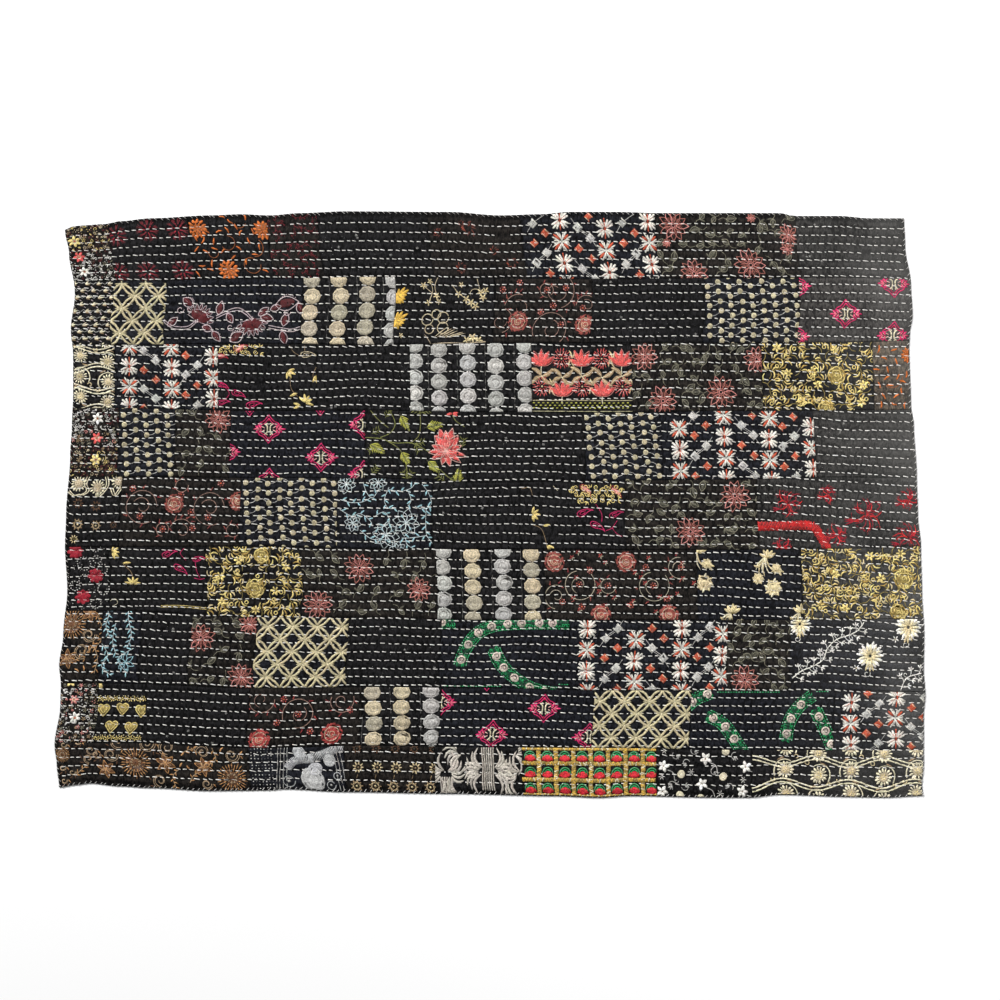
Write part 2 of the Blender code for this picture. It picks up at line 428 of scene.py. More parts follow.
def quilt_back():
    """The inner layer and back in one: dimpled below, rolled at the rim, flat on top."""
    columns = np.linspace(0.0, CUT_LENGTH, round(CUT_LENGTH / BACK_STEP) + 1)
    lines = np.arange(2 * ROW_COUNT + 1) / 2.0
    along = np.tile(columns, len(lines))
    down = row_down(along, np.repeat(lines, len(columns)))
    inset = RIM[0][0] + 0.0006
    x, y = laid(inset + along * (1.0 - 2.0 * inset / CUT_LENGTH),
                inset + down * (1.0 - 2.0 * inset / CUT_WIDTH))
    dimpled = np.repeat(lines % 1.0 > 0.0, len(columns))
    z = np.where(dimpled, BACK_DIMPLE, 0.0)
    points = [np.stack((x, y, z), 1)]
    faces = [face[::-1] for face in grid_faces(len(lines), len(columns))]
    below = grid_border(len(lines), len(columns))
    start = len(x)
    for place, height in RIM:
        ring = rim_ring(columns, lines * ROW_PITCH, place, height)
        points.append(ring)
        above = list(range(start, start + len(ring)))
        faces += skin(below, above)
        below = above
        start += len(ring)
    faces.append(tuple(below[::-1]))
    return np.concatenate(points).tolist(), faces


# ---------------------------------------------------------------- the patches
LINES_PER_ROW = 4
COLUMN_STEP = 0.0038
SEAM_STEPS = np.array((0.00015, 0.0008, 0.0022))   # lines of the mesh beside a seam
HEM_ALLOWANCE = 0.0013      # at the quilt's own edge a patch stops at the rim
SQUEEZE = 0.0002            # the least space between two lines of the mesh
SEAM_DEPTH = 0.85           # how much of its height a patch loses at its seams
SEAM_REACH = 0.0010
PATCH_UNDER = 0.00145
PATCH_LOW = 0.0015
SHARP_ANGLE = 50.0


class Patch:
    """A rectangle of the cut cloth."""

    def __init__(self, strip, column, left, right):
        self.name = f"{strip + 1}_{column + 1}"
        self.left, self.right = left * MM, right * MM
        self.top, self.bottom = SEAM_DOWNS[strip], SEAM_DOWNS[strip + 1]
        self.width, self.height = right - left, STRIP_HEIGHTS[strip] / MM

    def from_seam(self, along, down):
        """The distance of a place to the nearest edge of the patch."""
        side = np.minimum(along - self.left, self.right - along)
        return np.clip(np.minimum(side, np.minimum(down - self.top, self.bottom - down)), 0.0, 1.0)

    def surface(self, along, down, lift=0.0):
        """Points on the patch's face, or lifted off it."""
        loss = SEAM_DEPTH * np.exp(-self.from_seam(along, down) / SEAM_REACH)
        height = top_height(along, down)
        z = height - loss * (height - PATCH_LOW) + lift
        x, y = laid(along, down)
        return np.stack((x, y, z), 1)


def steps_between(low, high):
    """Places from one side of a patch to the other, closer together beside its edges."""
    first = low + SEAM_STEPS + HEM_ALLOWANCE * (low <= 0.0)
    last = high - SEAM_STEPS[::-1] - HEM_ALLOWANCE * (high >= CUT_LENGTH)
    room = last[0] - first[-1]
    count = max(round(room / COLUMN_STEP), 1)
    return np.concatenate((first, first[-1] + room * np.arange(1, count) / count, last))


def patch_mesh(patch):
    """A closed sheet: its face follows rows and crests, and its edges turn down at the seams."""
    columns = steps_between(patch.left, patch.right)
    first = patch.top + SEAM_STEPS + HEM_ALLOWANCE * (patch.top <= 0.0)
    last = patch.bottom - SEAM_STEPS[::-1] - HEM_ALLOWANCE * (patch.bottom >= CUT_WIDTH - MM)
    lines = np.arange(LINES_PER_ROW * ROW_COUNT + 1)[:, None] / LINES_PER_ROW
    downs = row_down(columns[None, :], lines)
    shown = (downs.max(axis=1) > first[-1]) & (downs.min(axis=1) < last[0])
    downs = downs[shown]
    order = SQUEEZE * (1.0 + np.arange(len(downs)))[:, None]
    downs = np.clip(downs, first[-1] + order, last[0] - order[::-1])
    edges = np.ones(len(columns))
    downs = np.concatenate((np.outer(first, edges), downs, np.outer(last, edges)))
    along = np.tile(columns, len(downs))
    top = patch.surface(along, downs.ravel())
    border = grid_border(len(downs), len(columns))
    under = top[border]
    under[:, 2] = PATCH_UNDER
    lower = list(range(len(top), len(top) + len(border)))
    faces = grid_faces(len(downs), len(columns)) + skin(lower, border) + [tuple(lower)]
    return np.concatenate((top, under)).tolist(), faces


# ---------------------------------------------------------------- embroidery
UNDER = -0.3                # strands are sunk this far into the cloth, in millimetres
SEAM_MARGIN = 0.3           # embroidery is caught in the seam this far inside its patch
BROAD = 4.6                 # strands from this width up are flat along the middle
TONE_SPREAD = 0.09          # how far strands of one colour differ, in tone and in hue
HUE_SPREAD = 0.012
PAINTED_ROOT_SHADE = 0.42           # painted shade: the share of its colour that a strand keeps at its root
PAINTED_CROWN_LIGHT = 0.66           # and the painted light it gains at its crown
STEP = 3.2                  # the length of one section of a strand
SWEEP_STEP = 48.0           # and the most that an arc turns in one, in degrees
UNBROKEN = 100.0            # a step so long that a thread keeps its points as given
# profiles of pads, (share of reach, crown): a low crown stands lower and is painted darker, as
# painted shade in the grooves
DOME = ((1.0, 0.0), (0.72, 0.85), (0.0, 1.0))
BUTTON = ((1.0, 0.0), (0.0, 1.0))
COIL = ((1.0, 0.0), (0.93, 0.8), (0.78, 0.45), (0.62, 0.95), (0.46, 0.5), (0.3, 1.0), (0.0, 0.7))
TABLET = ((1.0, 0.0), (0.85, 0.9), (0.4, 0.8), (0.0, 1.0))


@lru_cache(maxsize=None)
def strand_faces(sections, across):
    """Triangles of a closed strand: a tip at each end, and the sections between."""
    def number(section, place):
        return 2 + section * across + place % across

    faces = []
    for place in range(across):
        faces.append((0, number(0, place + 1), number(0, place)))
        faces.append((1, number(sections - 1, place), number(sections - 1, place + 1)))
        for section in range(sections - 1):
            a, b = number(section, place), number(section, place + 1)
            c, d = number(section + 1, place + 1), number(section + 1, place)
            faces += [(a, b, c), (a, c, d)]
    return np.array(faces)


@lru_cache(maxsize=None)
def pad_faces(rings, sides):
    """Triangles of a closed pad: its centre first, then rings from the outermost inwards."""
    faces = [(1, 2 + place, 1 + place) for place in range(1, sides - 1)]
    for place in range(sides):
        after = (place + 1) % sides
        for ring in range(rings - 1):
            a, b = 1 + ring * sides + place, 1 + ring * sides + after
            faces += [(a, b, b + sides), (a, b + sides, a + sides)]
        last = 1 + (rings - 1) * sides
        faces.append((last + place, last + after, 0))
    return np.array(faces)


def smoothed(points, step):
    """A smooth course through a few points, with a place at least every step."""
    points = np.asarray(points, float)
    ends = np.concatenate((points[:1], points, points[-1:]))
    course = []
    for a, b, c, d in zip(ends, ends[1:], ends[2:], ends[3:]):
        count = max(math.ceil(np.hypot(*(c - b)) / step), 1)
        t = (np.arange(count) / count)[:, None]
        course.append(0.5 * (2.0 * b + (c - a) * t + (2.0 * a - 5.0 * b + 4.0 * c - d) * t**2
                             + (3.0 * b - a - 3.0 * c + d) * t**3))
    return np.concatenate(course + [points[-1:]])


def turned(x, y, turn, places, aside):
    """Points at distances ahead and to the side of a start; turns go clockwise from the right."""
    ahead = np.array((math.cos(math.radians(turn)), math.sin(math.radians(turn))))
    across = np.array((-ahead[1], ahead[0]))
    return np.array((x, y)) + np.outer(places, ahead) + np.outer(aside, across)


def away(x, y, turn, reach):
    """The point at a distance from another, in some direction."""
    return turned(x, y, turn, [reach], [0.0])[0]


def headings(course, behind=0):
    """Each point of a course but its last: its number, its place and the way it heads."""
    for number in range(behind, len(course) - 1):
        across, down = course[number + 1] - course[number - behind]
        yield number, course[number], math.degrees(math.atan2(down, across))


class Work:
    """The embroidery of one patch, in millimetres from its top left corner."""

    def __init__(self, patch):
        self.patch, self.width, self.height = patch, patch.width, patch.height
        self.chance = random.Random("work " + patch.name)
        self.within, self.one_of = self.chance.uniform, self.chance.choice
        self.points, self.lifts, self.tints, self.places, self.faces = [], [], [], [], []
        self.count = 0

    def add(self, points, lifts, crowns, places, faces, colour):
        """Keep one closed strand or pad, unless all of it lies off the patch."""
        low, high = points.min(axis=0), points.max(axis=0)
        if low[0] > self.width or low[1] > self.height or min(high) < 0.0:
            return
        tone = self.chance.gauss(1.0, TONE_SPREAD)
        colour = np.array([tone * self.chance.gauss(part, HUE_SPREAD * part) for part in colour])
        self.points.append(points)
        self.lifts.append(lifts)
        # painted shade: each strand is painted darker at its roots and lighter at its crown
        self.tints.append(np.outer(PAINTED_ROOT_SHADE + PAINTED_CROWN_LIGHT * crowns, colour))
        self.places.append(places)
        self.faces.append(faces + self.count)
        self.count += len(points)

    def stray(self, spread):
        """A small chance amount, either way."""
        return self.chance.gauss(0.0, spread)

    def strand(self, path, widths, colour, high):
        """A closed strand along a path, with a tip at either end."""
        path = np.asarray(path, float)
        widths = np.broadcast_to(widths, len(path) - 2)
        course = np.gradient(path, axis=0)[1:-1]
        side = np.stack((-course[:, 1], course[:, 0]), 1)
        side *= (0.5 * widths / np.maximum(np.hypot(*side.T), 1e-6))[:, None]
        shares = np.array((-1.0, 0.0, 1.0) if max(widths) < BROAD else (-1.0, -0.55, 0.55, 1.0))
        crowns = 1.0 - shares**2 if len(shares) == 3 else np.array((0.0, 0.95, 0.95, 0.0))
        sections = path[1:-1, None, :] + side[:, None, :] * shares[None, :, None]
        length = np.concatenate(([0.0], np.cumsum(np.hypot(*np.diff(path, axis=0).T))))
        crowns = np.concatenate(([0.0, 0.0], np.tile(crowns, len(path) - 2)))
        self.add(np.concatenate((path[[0, -1]], sections.reshape(-1, 2))),
                 UNDER + (high - UNDER) * crowns, crowns,
                 np.concatenate((length[[0, -1]], np.repeat(length[1:-1], len(shares)))),
                 strand_faces(len(path) - 2, len(shares)), colour)

    def line(self, points, width, colour, high=0.5, taper=1.0, step=STEP):
        """A couched thread through some points; it may grow thinner on its way."""
        course = smoothed(points, step)
        start, end = course[0] - course[1], course[-1] - course[-2]
        start *= 0.45 * width / max(np.hypot(*start), 1e-6)
        end *= 0.45 * width / max(np.hypot(*end), 1e-6)
        path = np.concatenate(([course[0] + start], course, [course[-1] + end]))
        self.strand(path, width * np.linspace(1.0, taper, len(course)), colour, high)

    def arc(self, x, y, start, sweep, reach, width, colour, last=None, high=0.5, taper=1.0):
        """A thread that turns about a place; its reach may grow or shrink on its way."""
        last = reach if last is None else last
        length = math.radians(abs(sweep)) * max(reach, last)
        count = math.ceil(max(length / STEP, abs(sweep) / SWEEP_STEP))
        angles = np.radians(np.linspace(start, start + sweep, count + 1))
        reaches = np.linspace(reach, last, count + 1)
        points = np.stack((x + reaches * np.cos(angles), y + reaches * np.sin(angles)), 1)
        self.line(points, width, colour, high, taper, step=UNBROKEN)

    def leaf(self, x, y, turn, length, width, colour, bend=0.0, high=0.55, vein=None):
        """A satin-stitched leaf or petal from its root; it may bend aside and have a vein."""
        turn += self.stray(2.5)
        length *= self.chance.gauss(1.0, 0.05)
        sections = 2 if length < 8.0 else 3 if length < 15.0 else 5
        shares = np.concatenate(([0.0], (np.arange(sections) + 0.5) / sections, [1.0]))
        path = turned(x, y, turn, shares * length, bend * length * np.sin(np.pi * shares))
        widths = width * np.sin(np.pi * shares[1:-1] ** 0.9) ** 0.7
        self.strand(path, widths, colour, high)
        if vein:
            self.line(path[:-1], 0.16 * width + 0.6, vein, high + 0.4, taper=0.5, step=UNBROKEN)

    def fan(self, x, y, turn, leans, length, width, colour, **settings):
        """Leaves from one root, each leaning its own way."""
        for lean in leans:
            self.leaf(x, y, turn + lean, length, width, colour, **settings)

    def rays(self, x, y, count, root, length, width, *colours, first=0.0, leans=(0.0,), stray=0.0,
             high=0.55):
        """Leaves set round a place, from roots on a circle, in colours that take turns."""
        for number in range(count):
            turn = first + 360.0 * number / count
            if stray:
                turn += self.stray(stray)
            for lean in leans:
                self.leaf(*away(x, y, turn, root), turn + lean, length, width,
                          colours[number % len(colours)], high=high)

    def stroke(self, x, y, turn, length, width, colour, high=0.6):
        """A blunt satin stitch from its root."""
        path = turned(x, y, turn, np.array((0.0, 0.1, 0.5, 0.9, 1.0)) * length, np.zeros(5))
        self.strand(path, np.array((0.78, 1.0, 0.78)) * width, colour, high)

    def loop(self, x, y, turn, length, width, cord, colour, fill=None, high=0.55):
        """A leaf drawn in outline, perhaps filled with another colour."""
        shares = np.linspace(0.0, 1.0, 5 if length < 16.0 else 7)
        aside = 0.5 * width * np.sin(np.pi * shares**0.9)
        if fill:
            self.leaf(x, y, turn, length * 0.9, width * 0.8, fill, high=high * 0.6)
        for side in (-1.0, 1.0):
            self.line(turned(x, y, turn, shares * length, side * aside), cord, colour, high)

    def pad(self, x, y, reach, colour, profile=DOME, sides=9, turn=0.0, squash=1.0, lobes=0,
            frill=0.0, high=0.6):
        """A filled round of stitches; it may be squashed, or frilled into lobes."""
        angles = 2.0 * np.pi * np.arange(sides) / sides
        radii = reach * (1.0 + frill * np.cos(lobes * angles))
        shares = np.array([share for share, crown in profile[:-1]])[:, None]
        crowns = np.array([crown for share, crown in profile])
        ahead = (shares * radii * np.cos(angles)).ravel()
        aside = (shares * radii * squash * np.sin(angles)).ravel()
        points = np.concatenate(([(x, y)], turned(x, y, turn, ahead, aside)))
        crowns = np.concatenate((crowns[-1:], np.repeat(crowns[:-1], sides)))
        self.add(points, UNDER + (high - UNDER) * crowns, crowns, points[:, 0] + points[:, 1],
                 pad_faces(len(profile) - 1, sides), colour)


def cut_off(data, patch):
    """Cut a patch's embroidery off at its seams, and close what was cut."""
    mesh = bmesh.new()
    mesh.from_mesh(data)
    left = SEAM_MARGIN + HEM_ALLOWANCE / MM * (patch.left <= 0.0)
    right = patch.width - SEAM_MARGIN - HEM_ALLOWANCE / MM * (patch.right >= CUT_LENGTH)
    top = -SEAM_MARGIN - HEM_ALLOWANCE / MM * (patch.top <= 0.0)
    bottom = SEAM_MARGIN - patch.height + HEM_ALLOWANCE / MM * (patch.bottom > CUT_WIDTH - MM)
    sides = (((left, 0, 0), (-1, 0, 0)), ((right, 0, 0), (1, 0, 0)),
             ((0, top, 0), (0, 1, 0)), ((0, bottom, 0), (0, -1, 0)))
    for place, outward in sides:
        everything = mesh.verts[:] + mesh.edges[:] + mesh.faces[:]
        bmesh.ops.bisect_plane(mesh, geom=everything, dist=1e-5, plane_co=place,
                               plane_no=outward, clear_outer=True)
        rims = [edge for edge in mesh.edges if edge.is_boundary]
        bmesh.ops.holes_fill(mesh, edges=rims, sides=0)
    bmesh.ops.recalc_face_normals(mesh, faces=mesh.faces)
    mesh.to_mesh(data)
    mesh.free()


def paint(data, colours, places):
    """Give a mesh its tints, and how far along its strand each vertex lies."""
    tints = data.attributes.new("tint", "FLOAT_COLOR", "POINT")
    full = np.concatenate((np.clip(colours, 0.0, 1.0), np.ones((len(colours), 1))), 1)
    tints.data.foreach_set("color", full.astype(np.float32).ravel())
    strands = data.attributes.new("strand", "FLOAT", "POINT")
    strands.data.foreach_set("value", np.asarray(places, np.float32))


def embroidery_mesh(work):
    """Join a patch's strands and pads, cut them off at its seams and lay them on its cloth."""
    patch = work.patch
    points, lifts = np.concatenate(work.points), np.concatenate(work.lifts)
    data = bpy.data.meshes.new("work_" + patch.name)
    flat = np.stack((points[:, 0], -points[:, 1], lifts), 1)
    data.from_pydata(flat.tolist(), [], np.concatenate(work.faces).tolist())
    paint(data, np.concatenate(work.tints), np.concatenate(work.places))
    cut_off(data, patch)
    flat = np.empty(3 * len(data.vertices))
    data.vertices.foreach_get("co", flat)
    flat = flat.reshape(-1, 3)
    along, down = patch.left + flat[:, 0] * MM, patch.top - flat[:, 1] * MM
    data.vertices.foreach_set("co", patch.surface(along, down, flat[:, 2] * MM).ravel())
    return data


# ---------------------------------------------------------------- thread colours
WHITE = tint(242, 238, 230)
CREAM = tint(234, 224, 192)
BEIGE = tint(210, 194, 162)
GREY = tint(192, 190, 185)
DIM_GREY = tint(110, 108, 104)
RUST = tint(192, 84, 56)
CORAL = tint(226, 92, 88)
DEEP_CORAL = tint(160, 80, 70)
PINK = tint(224, 148, 140)
MAROON = tint(84, 14, 20)
DARK_RED = tint(112, 20, 32)
CRIMSON = tint(158, 24, 44)
RED = tint(220, 46, 46)
MAGENTA = tint(216, 36, 104)
ORANGE = tint(214, 112, 42)
SAFFRON = tint(226, 182, 76)
GOLD = tint(238, 214, 136)
KHAKI = tint(200, 188, 150)
OLIVE = tint(138, 134, 114)
DARK_OLIVE = tint(72, 70, 58)
MOSS = tint(150, 132, 72)
MAUVE_WHITE = tint(216, 198, 200)
SKY = tint(164, 208, 218)
EMERALD = tint(26, 168, 94)
LEAF_GREEN = tint(84, 164, 108)
LIME = tint(186, 184, 78)
DARK_GREEN = tint(10, 62, 40)
MINT = tint(140, 206, 166)
ROSETTE = tint(214, 196, 184)
SAND = tint(226, 208, 162)
PALE_BLUE = tint(214, 226, 226)
SILVER = tint(190, 190, 190)
PEARL = tint(198, 190, 178)
BERRY = tint(216, 44, 58)
COPPER = tint(198, 146, 92)
DARK_COPPER = tint(104, 68, 42)
TAN = tint(164, 138, 104)
ROSE_STEM = tint(164, 130, 116)
DARK = tint(34, 30, 30)
BISCUIT = tint(184, 158, 126)
ASH = tint(158, 152, 142)
BRICK = tint(178, 66, 62)
RUSSET = tint(112, 54, 42)
CHALK = tint(224, 219, 208)
STONE = tint(186, 176, 154)
BLUSH = tint(240, 190, 178)
FERN = tint(128, 130, 70)
STRAW = tint(196, 184, 150)
DUSKY = tint(184, 114, 102)
OCHRE = tint(178, 148, 78)
DIM_RED = tint(128, 24, 38)
TENDRIL = tint(160, 90, 44)


# ---------------------------------------------------------------- motifs: the simplest ones
def each(work, draw, places):
    """Draw one motif at each of several places."""
    for place in places:
        draw(work, *place)


def spot(work, x, y, reach, colour, sides=5, high=0.8):
    work.pad(x, y, reach, colour, BUTTON, sides=sides, high=high)


def bloom(work, x, y, reach, petal, heart, petals=5, squash=0.55, high=0.55):
    """A small flower of plain petals."""
    work.rays(x, y, petals, 0.12 * reach, 0.9 * reach, squash * reach, petal,
              first=work.within(0, 70), high=high)
    work.pad(x, y, 0.3 * reach, heart, BUTTON, sides=6, high=high + 0.3)


def plain(work):
    """Bare worn cloth, with a little lint and a few stray tufts of thread."""
    for number in range(round(work.width / 5)):
        x = work.within(2, work.width - 2)
        y = work.within(2, work.height - 2)
        turn = work.within(0, 180)
        if number % 3:
            work.line(turned(x, y, turn, [0, 1.2], [0, 0.2]), 0.5, GREY, high=0.2)
        elif number % 9:
            spot(work, x, y, 0.7, WHITE, sides=4, high=0.3)
        else:
            for lean in (0, 70, 130):
                work.line(turned(x, y, turn + lean, [-2.4, 0, 2.4], [0, 0.6, 0]), 0.8, GREY,
                          high=0.5)


# ---------------------------------------------------------------- motifs: stars and rounds
STAR_PITCH = 36.5
LINK_CYCLE = (CHALK, RUST, RUST, CHALK)


def satin(work, x, y, reach, colour, edge):
    """A small upright diamond of satin stitches, with another thread along two of its sides."""
    work.pad(x, y, reach, colour, TABLET, sides=4, high=0.4)
    for aside in (-0.5, 0, 0.5):
        start = turned(x, y, 45, [-0.6 * reach], [aside * reach])[0]
        work.stroke(*start, 45, 1.2 * reach, 0.28 * reach, edge if aside else colour, high=1)


def crossed_star(work, x, y):
    """Four white fans on the diagonals, with rust threads up and down between them."""
    work.line([(x, y - 17), (x + 0.5, y), (x, y + 17)], 3.4, RUST, high=0.5)
    for quarter in range(4):
        for lean, length in ((-21, 15), (0, 17.5), (21, 15)):
            turn = 45 + 90 * quarter + lean
            start = away(x, y, turn, 2.2)
            work.stroke(*start, turn, length, 5, CHALK, high=0.75)
        work.leaf(x, y, 55 + 90 * quarter, 13, 2.2, RUST, high=1.2)


def leafy_star(work, x, y):
    """A white cross with a rust leaf, edged in white, on each diagonal."""
    for quarter in range(4):
        for lean in (-13, 13):
            work.stroke(x, y, 90 * quarter + lean, 15, 4.4, CHALK, high=0.7)
        turn = 45 + 90 * quarter
        work.leaf(*away(x, y, turn, 4), turn, 15, 5.4, RUST, high=0.6)
        for side in (-1, 1):
            start = turned(x, y, turn, [2], [1.6 * side])[0]
            work.stroke(*start, turn + 14 * side, 17.5, 4, CHALK, high=0.75)


def star_column(work, x, y, kinds):
    """Stars of two kinds in turn, down a patch."""
    number = 0
    while y < work.height + 18:
        kinds[number % 2](work, x + work.stray(0.8), y)
        y += STAR_PITCH
        number += 1


def diamond_column(work, x, y, side, phase):
    """Small diamonds to either side of a line, two white and two rust in turn."""
    number = phase
    while y < work.height + 12:
        colour = LINK_CYCLE[number % 4]
        if colour is CHALK:
            satin(work, x + 10.5 * side, y, 10, GREY, CHALK)
            before = (x + 21 * side, y - 15) if number % 4 else (x - 12 * side, y - 15)
            work.line([before, (x + 10.5 * side, y)], 1.6, GREY, high=0.4)
            after = (x - 12 * side, y + 15) if number % 4 else (x + 21 * side, y + 15)
            work.line([(x + 10.5 * side, y), after], 1.6, GREY, high=0.4)
        else:
            satin(work, x + 10.5 * side, y, 9, RUST, BEIGE)
        y += 17.3
        number += 1
        side = -side


def stars(work, columns, gaps):
    """Columns of stars, and columns of linked diamonds between them."""
    each(work, diamond_column, gaps)
    each(work, star_column, columns)


CROSSED = (crossed_star, leafy_star)
LEAFY = (leafy_star, crossed_star)


DOT_PITCH = (19.5, 16.9)    # from column to column, and from dot to dot down a column
DOT_STAGGER = 7.7


def dots(work, x, y):
    """Small rounds with a dark eye, each linked to the next column's by a slanting thread."""
    across, drop = DOT_PITCH
    for column in range(math.ceil((work.width + 30 - x) / across)):
        rise = 6 if column % 2 else -6
        for row in range(-1, math.ceil((work.height + 20) / drop)):
            at = x + across * column + 1.6 * row + work.stray(0.6)
            down = y + drop * row - DOT_STAGGER * (column % 2) + work.stray(0.6)
            work.line([(at, down), (at + 10, down + 0.2 * rise), (at + 17, down + rise)],
                      1.5, GREY, high=0.3)
            work.pad(at, down, 5.1, STRAW, COIL, sides=9, lobes=3, frill=0.07, high=0.75)
            spot(work, at + 0.6, down + 0.3, 1.7, DARK_OLIVE, sides=4, high=1.2)
            work.arc(at, down, 120, 250, 3.7, 1.5, CREAM, high=1.15)


def coin(work, x, y, colour, notch):
    """A coiled disc whose outer end curls up into a notch in its rim."""
    work.pad(x, y, 15.2, colour, COIL, sides=18, squash=0.9, lobes=9, frill=0.04, high=1)
    curl = away(x, y, notch, 10.6)
    work.arc(*curl, notch + 50, 250, 3.6, 2.8, colour, high=1.1)
    spot(work, *away(x, y, notch + 24, 13.4), 2.4, DARK, high=1.15)
    work.arc(x, y, notch + 30, 620, 12, 1.2, ASH, last=2.5, high=1.2)


def coins(work, columns, tilt=0):
    """Columns of coiled discs, each beside a thin upright thread."""
    for x, y, colour in columns:
        work.line([(x - 19, -2), (x - 19 + tilt, 60), (x - 19 + 2 * tilt, 124)], 1.4,
                  DIM_GREY, high=0.3, step=7)
        while y < work.height + 15:
            notch = work.chance.gauss(-112 if colour is GREY else 62, 9)
            shade = colour if colour is GREY else work.one_of((BEIGE, BEIGE, STONE))
            coin(work, x + tilt * y / 60 + work.stray(0.8), y, shade, notch)
            y += 27.4


# ---------------------------------------------------------------- motifs: daisies
def daisy(work, x, y, reach):
    """A daisy of pointed petals drawn in outline, about a small ring."""
    petals = 12 if reach > 15 else 8
    spin = work.within(0, 25)
    for number in range(petals):
        turn = spin + 360 * number / petals
        start = away(x, y, turn, 0.18 * reach)
        length = reach * work.within(0.7, 0.86)
        work.loop(*start, turn, length, 0.36 * reach, 2, DUSKY if number % 4 else PINK)
        work.leaf(*away(*start, turn, 0.2 * length), turn, 0.42 * length, 1.6, DEEP_CORAL, high=0.5)
    work.arc(x, y, 0, 340, 0.12 * reach, 2.2, PINK, high=0.7)


def veined_leaf(work, x, y, turn, length):
    """A leaf in outline with a midrib, and a dim filling."""
    work.loop(x, y, turn, length, 0.6 * length, 1.7, OLIVE, DARK_OLIVE)
    work.line(turned(x, y, turn, [0, length], [0, 0]), 1.4, OLIVE, high=0.6)


GROUND_LEAF = 16          # the length of a leaf strewn between daisies


def leafy_ground(work, spacing, clear):
    """Pairs of leaves on bent stems, strewn between flowers in loose rows."""
    rows = max(round(work.height / spacing), 1)
    for row in range(rows):
        x = work.within(0, spacing)
        y = (row + 0.5) * work.height / rows
        while x < work.width:
            at, down = x + work.stray(2.5), y + work.stray(3)
            turn = work.one_of((-60, 20, 120, 200)) + work.stray(25)
            if all(math.hypot(at - cx, down - cy) > reach + 5 for cx, cy, reach in clear):
                lean = work.one_of((-75, 75))
                veined_leaf(work, at, down, turn, GROUND_LEAF * work.within(0.8, 1.2))
                work.leaf(at, down, turn + lean, 0.7 * GROUND_LEAF, 0.34 * GROUND_LEAF, DARK_OLIVE,
                          high=0.4, vein=OLIVE)
                back = turned(at, down, turn + 180, [0, 6, 14], [0, 3, 0])
                work.line(back, 1.3, OLIVE, high=0.4)
            x += spacing * work.within(0.9, 1.35)


def daisies(work, flowers, spacing=24):
    """Daisies over a ground of leaves."""
    leafy_ground(work, spacing, flowers)
    each(work, daisy, flowers)


# ---------------------------------------------------------------- motifs: lattice
LATTICE_REACH = 21.6        # from a knot to the next one beside it, half a diamond away
CORD_AHEAD = np.array((0.03, 0.24, 0.5, 0.76, 0.97)) * LATTICE_REACH * 1.414
CORD_ASIDE = np.array((1, 3.3, 4.5, 3.3, 1))


def lattice(work, x, y):
    """Interlaced diamonds: two cords part and meet along each side, with rays at the knots."""
    steps = math.ceil((work.width + work.height) / LATTICE_REACH) + 1
    for down in range(-1, steps):
        for across in range(down % 2 - 2, math.ceil(work.width / LATTICE_REACH) + 2, 2):
            at, below = x + across * LATTICE_REACH + 0.6 * down, y + down * LATTICE_REACH
            for turn in (135, 45):
                for bow in (-1, 1):
                    path = turned(at, below, turn, CORD_AHEAD, CORD_ASIDE * bow)
                    work.line(path, 4.8, KHAKI, high=0.9, step=50)
            for turn, length in ((0, 13), (90, 8.5), (180, 13), (270, 8.5)):
                work.leaf(at, below, turn, length, 3.6, KHAKI, high=1.2)
            work.pad(at, below, 3.2, CREAM, BUTTON, sides=6, high=1.35)


# ---------------------------------------------------------------- motifs: medallions
def medallion(work, x, y):
    """A pointed tile: paired arches above and below, leafy fans aside, pale commas inside."""
    for end in (-1, 1):
        for scale in (1, 0.76):
            for side in (-1, 1):
                ahead = np.array((4, 10, 13, 16.5, 25)) * end * scale
                aside = np.array((20, 17, 10.5, 6.5, 0)) * side * scale
                work.line(np.stack((x + aside, y + ahead), 1), 2.6, MAGENTA, high=0.65, step=6)
        work.leaf(x, y + 13 * end, 90 * end, 6, 3.6, CRIMSON)
        for side in (-1, 1):
            work.line([(x + 2.4 * side, y + 0.6 * end), (x + 2.9 * side, y + 5.5 * end),
                       (x + 7 * side, y + 9 * end)], 3.4, CREAM, high=0.85)
            spot(work, x + 3.2 * side, y + 9.5 * end, 2.2, CREAM)
            lean = (90 - 58 * side) * end
            work.leaf(x + 6.5 * side, y + 1 * end, lean, 9, 2.8, BLUSH, high=0.8)
    for side in (0, 180):
        for place, lean, length in ((13, -64, 10), (13, 64, 10), (17, -42, 10),
                                    (17, 42, 10), (15, 0, 15)):
            root = away(x, y, side, place)
            work.leaf(*root, side + lean, length, 4.8, MAGENTA, high=0.7)
            work.leaf(*root, side + 0.8 * lean, 0.8 * length, 1.7, BLUSH, high=1.15)


# ---------------------------------------------------------------- motifs: scrolls and roses
def fuzzy_rose(work, x, y, reach, petal):
    """A full rose of close, rough rounds of thread, paler towards a coiled heart."""
    work.pad(x, y, 0.92 * reach, petal, COIL, sides=14, lobes=7, frill=0.07, high=0.45)
    for share, count, colour in ((0.82, 20, petal), (0.5, 14, PINK)):
        work.rays(x, y, count, reach * share, 0.34 * reach, 0.18 * reach, MAROON, colour, colour,
                  colour, leans=(75,), stray=6, high=0.9)
    work.arc(x, y, 0, 340, 0.62 * reach, 1.5, BEIGE, high=1.15)
    work.arc(x, y, 20, 560, 0.12 * reach, 1.8, BEIGE, last=0.36 * reach, high=1.2)


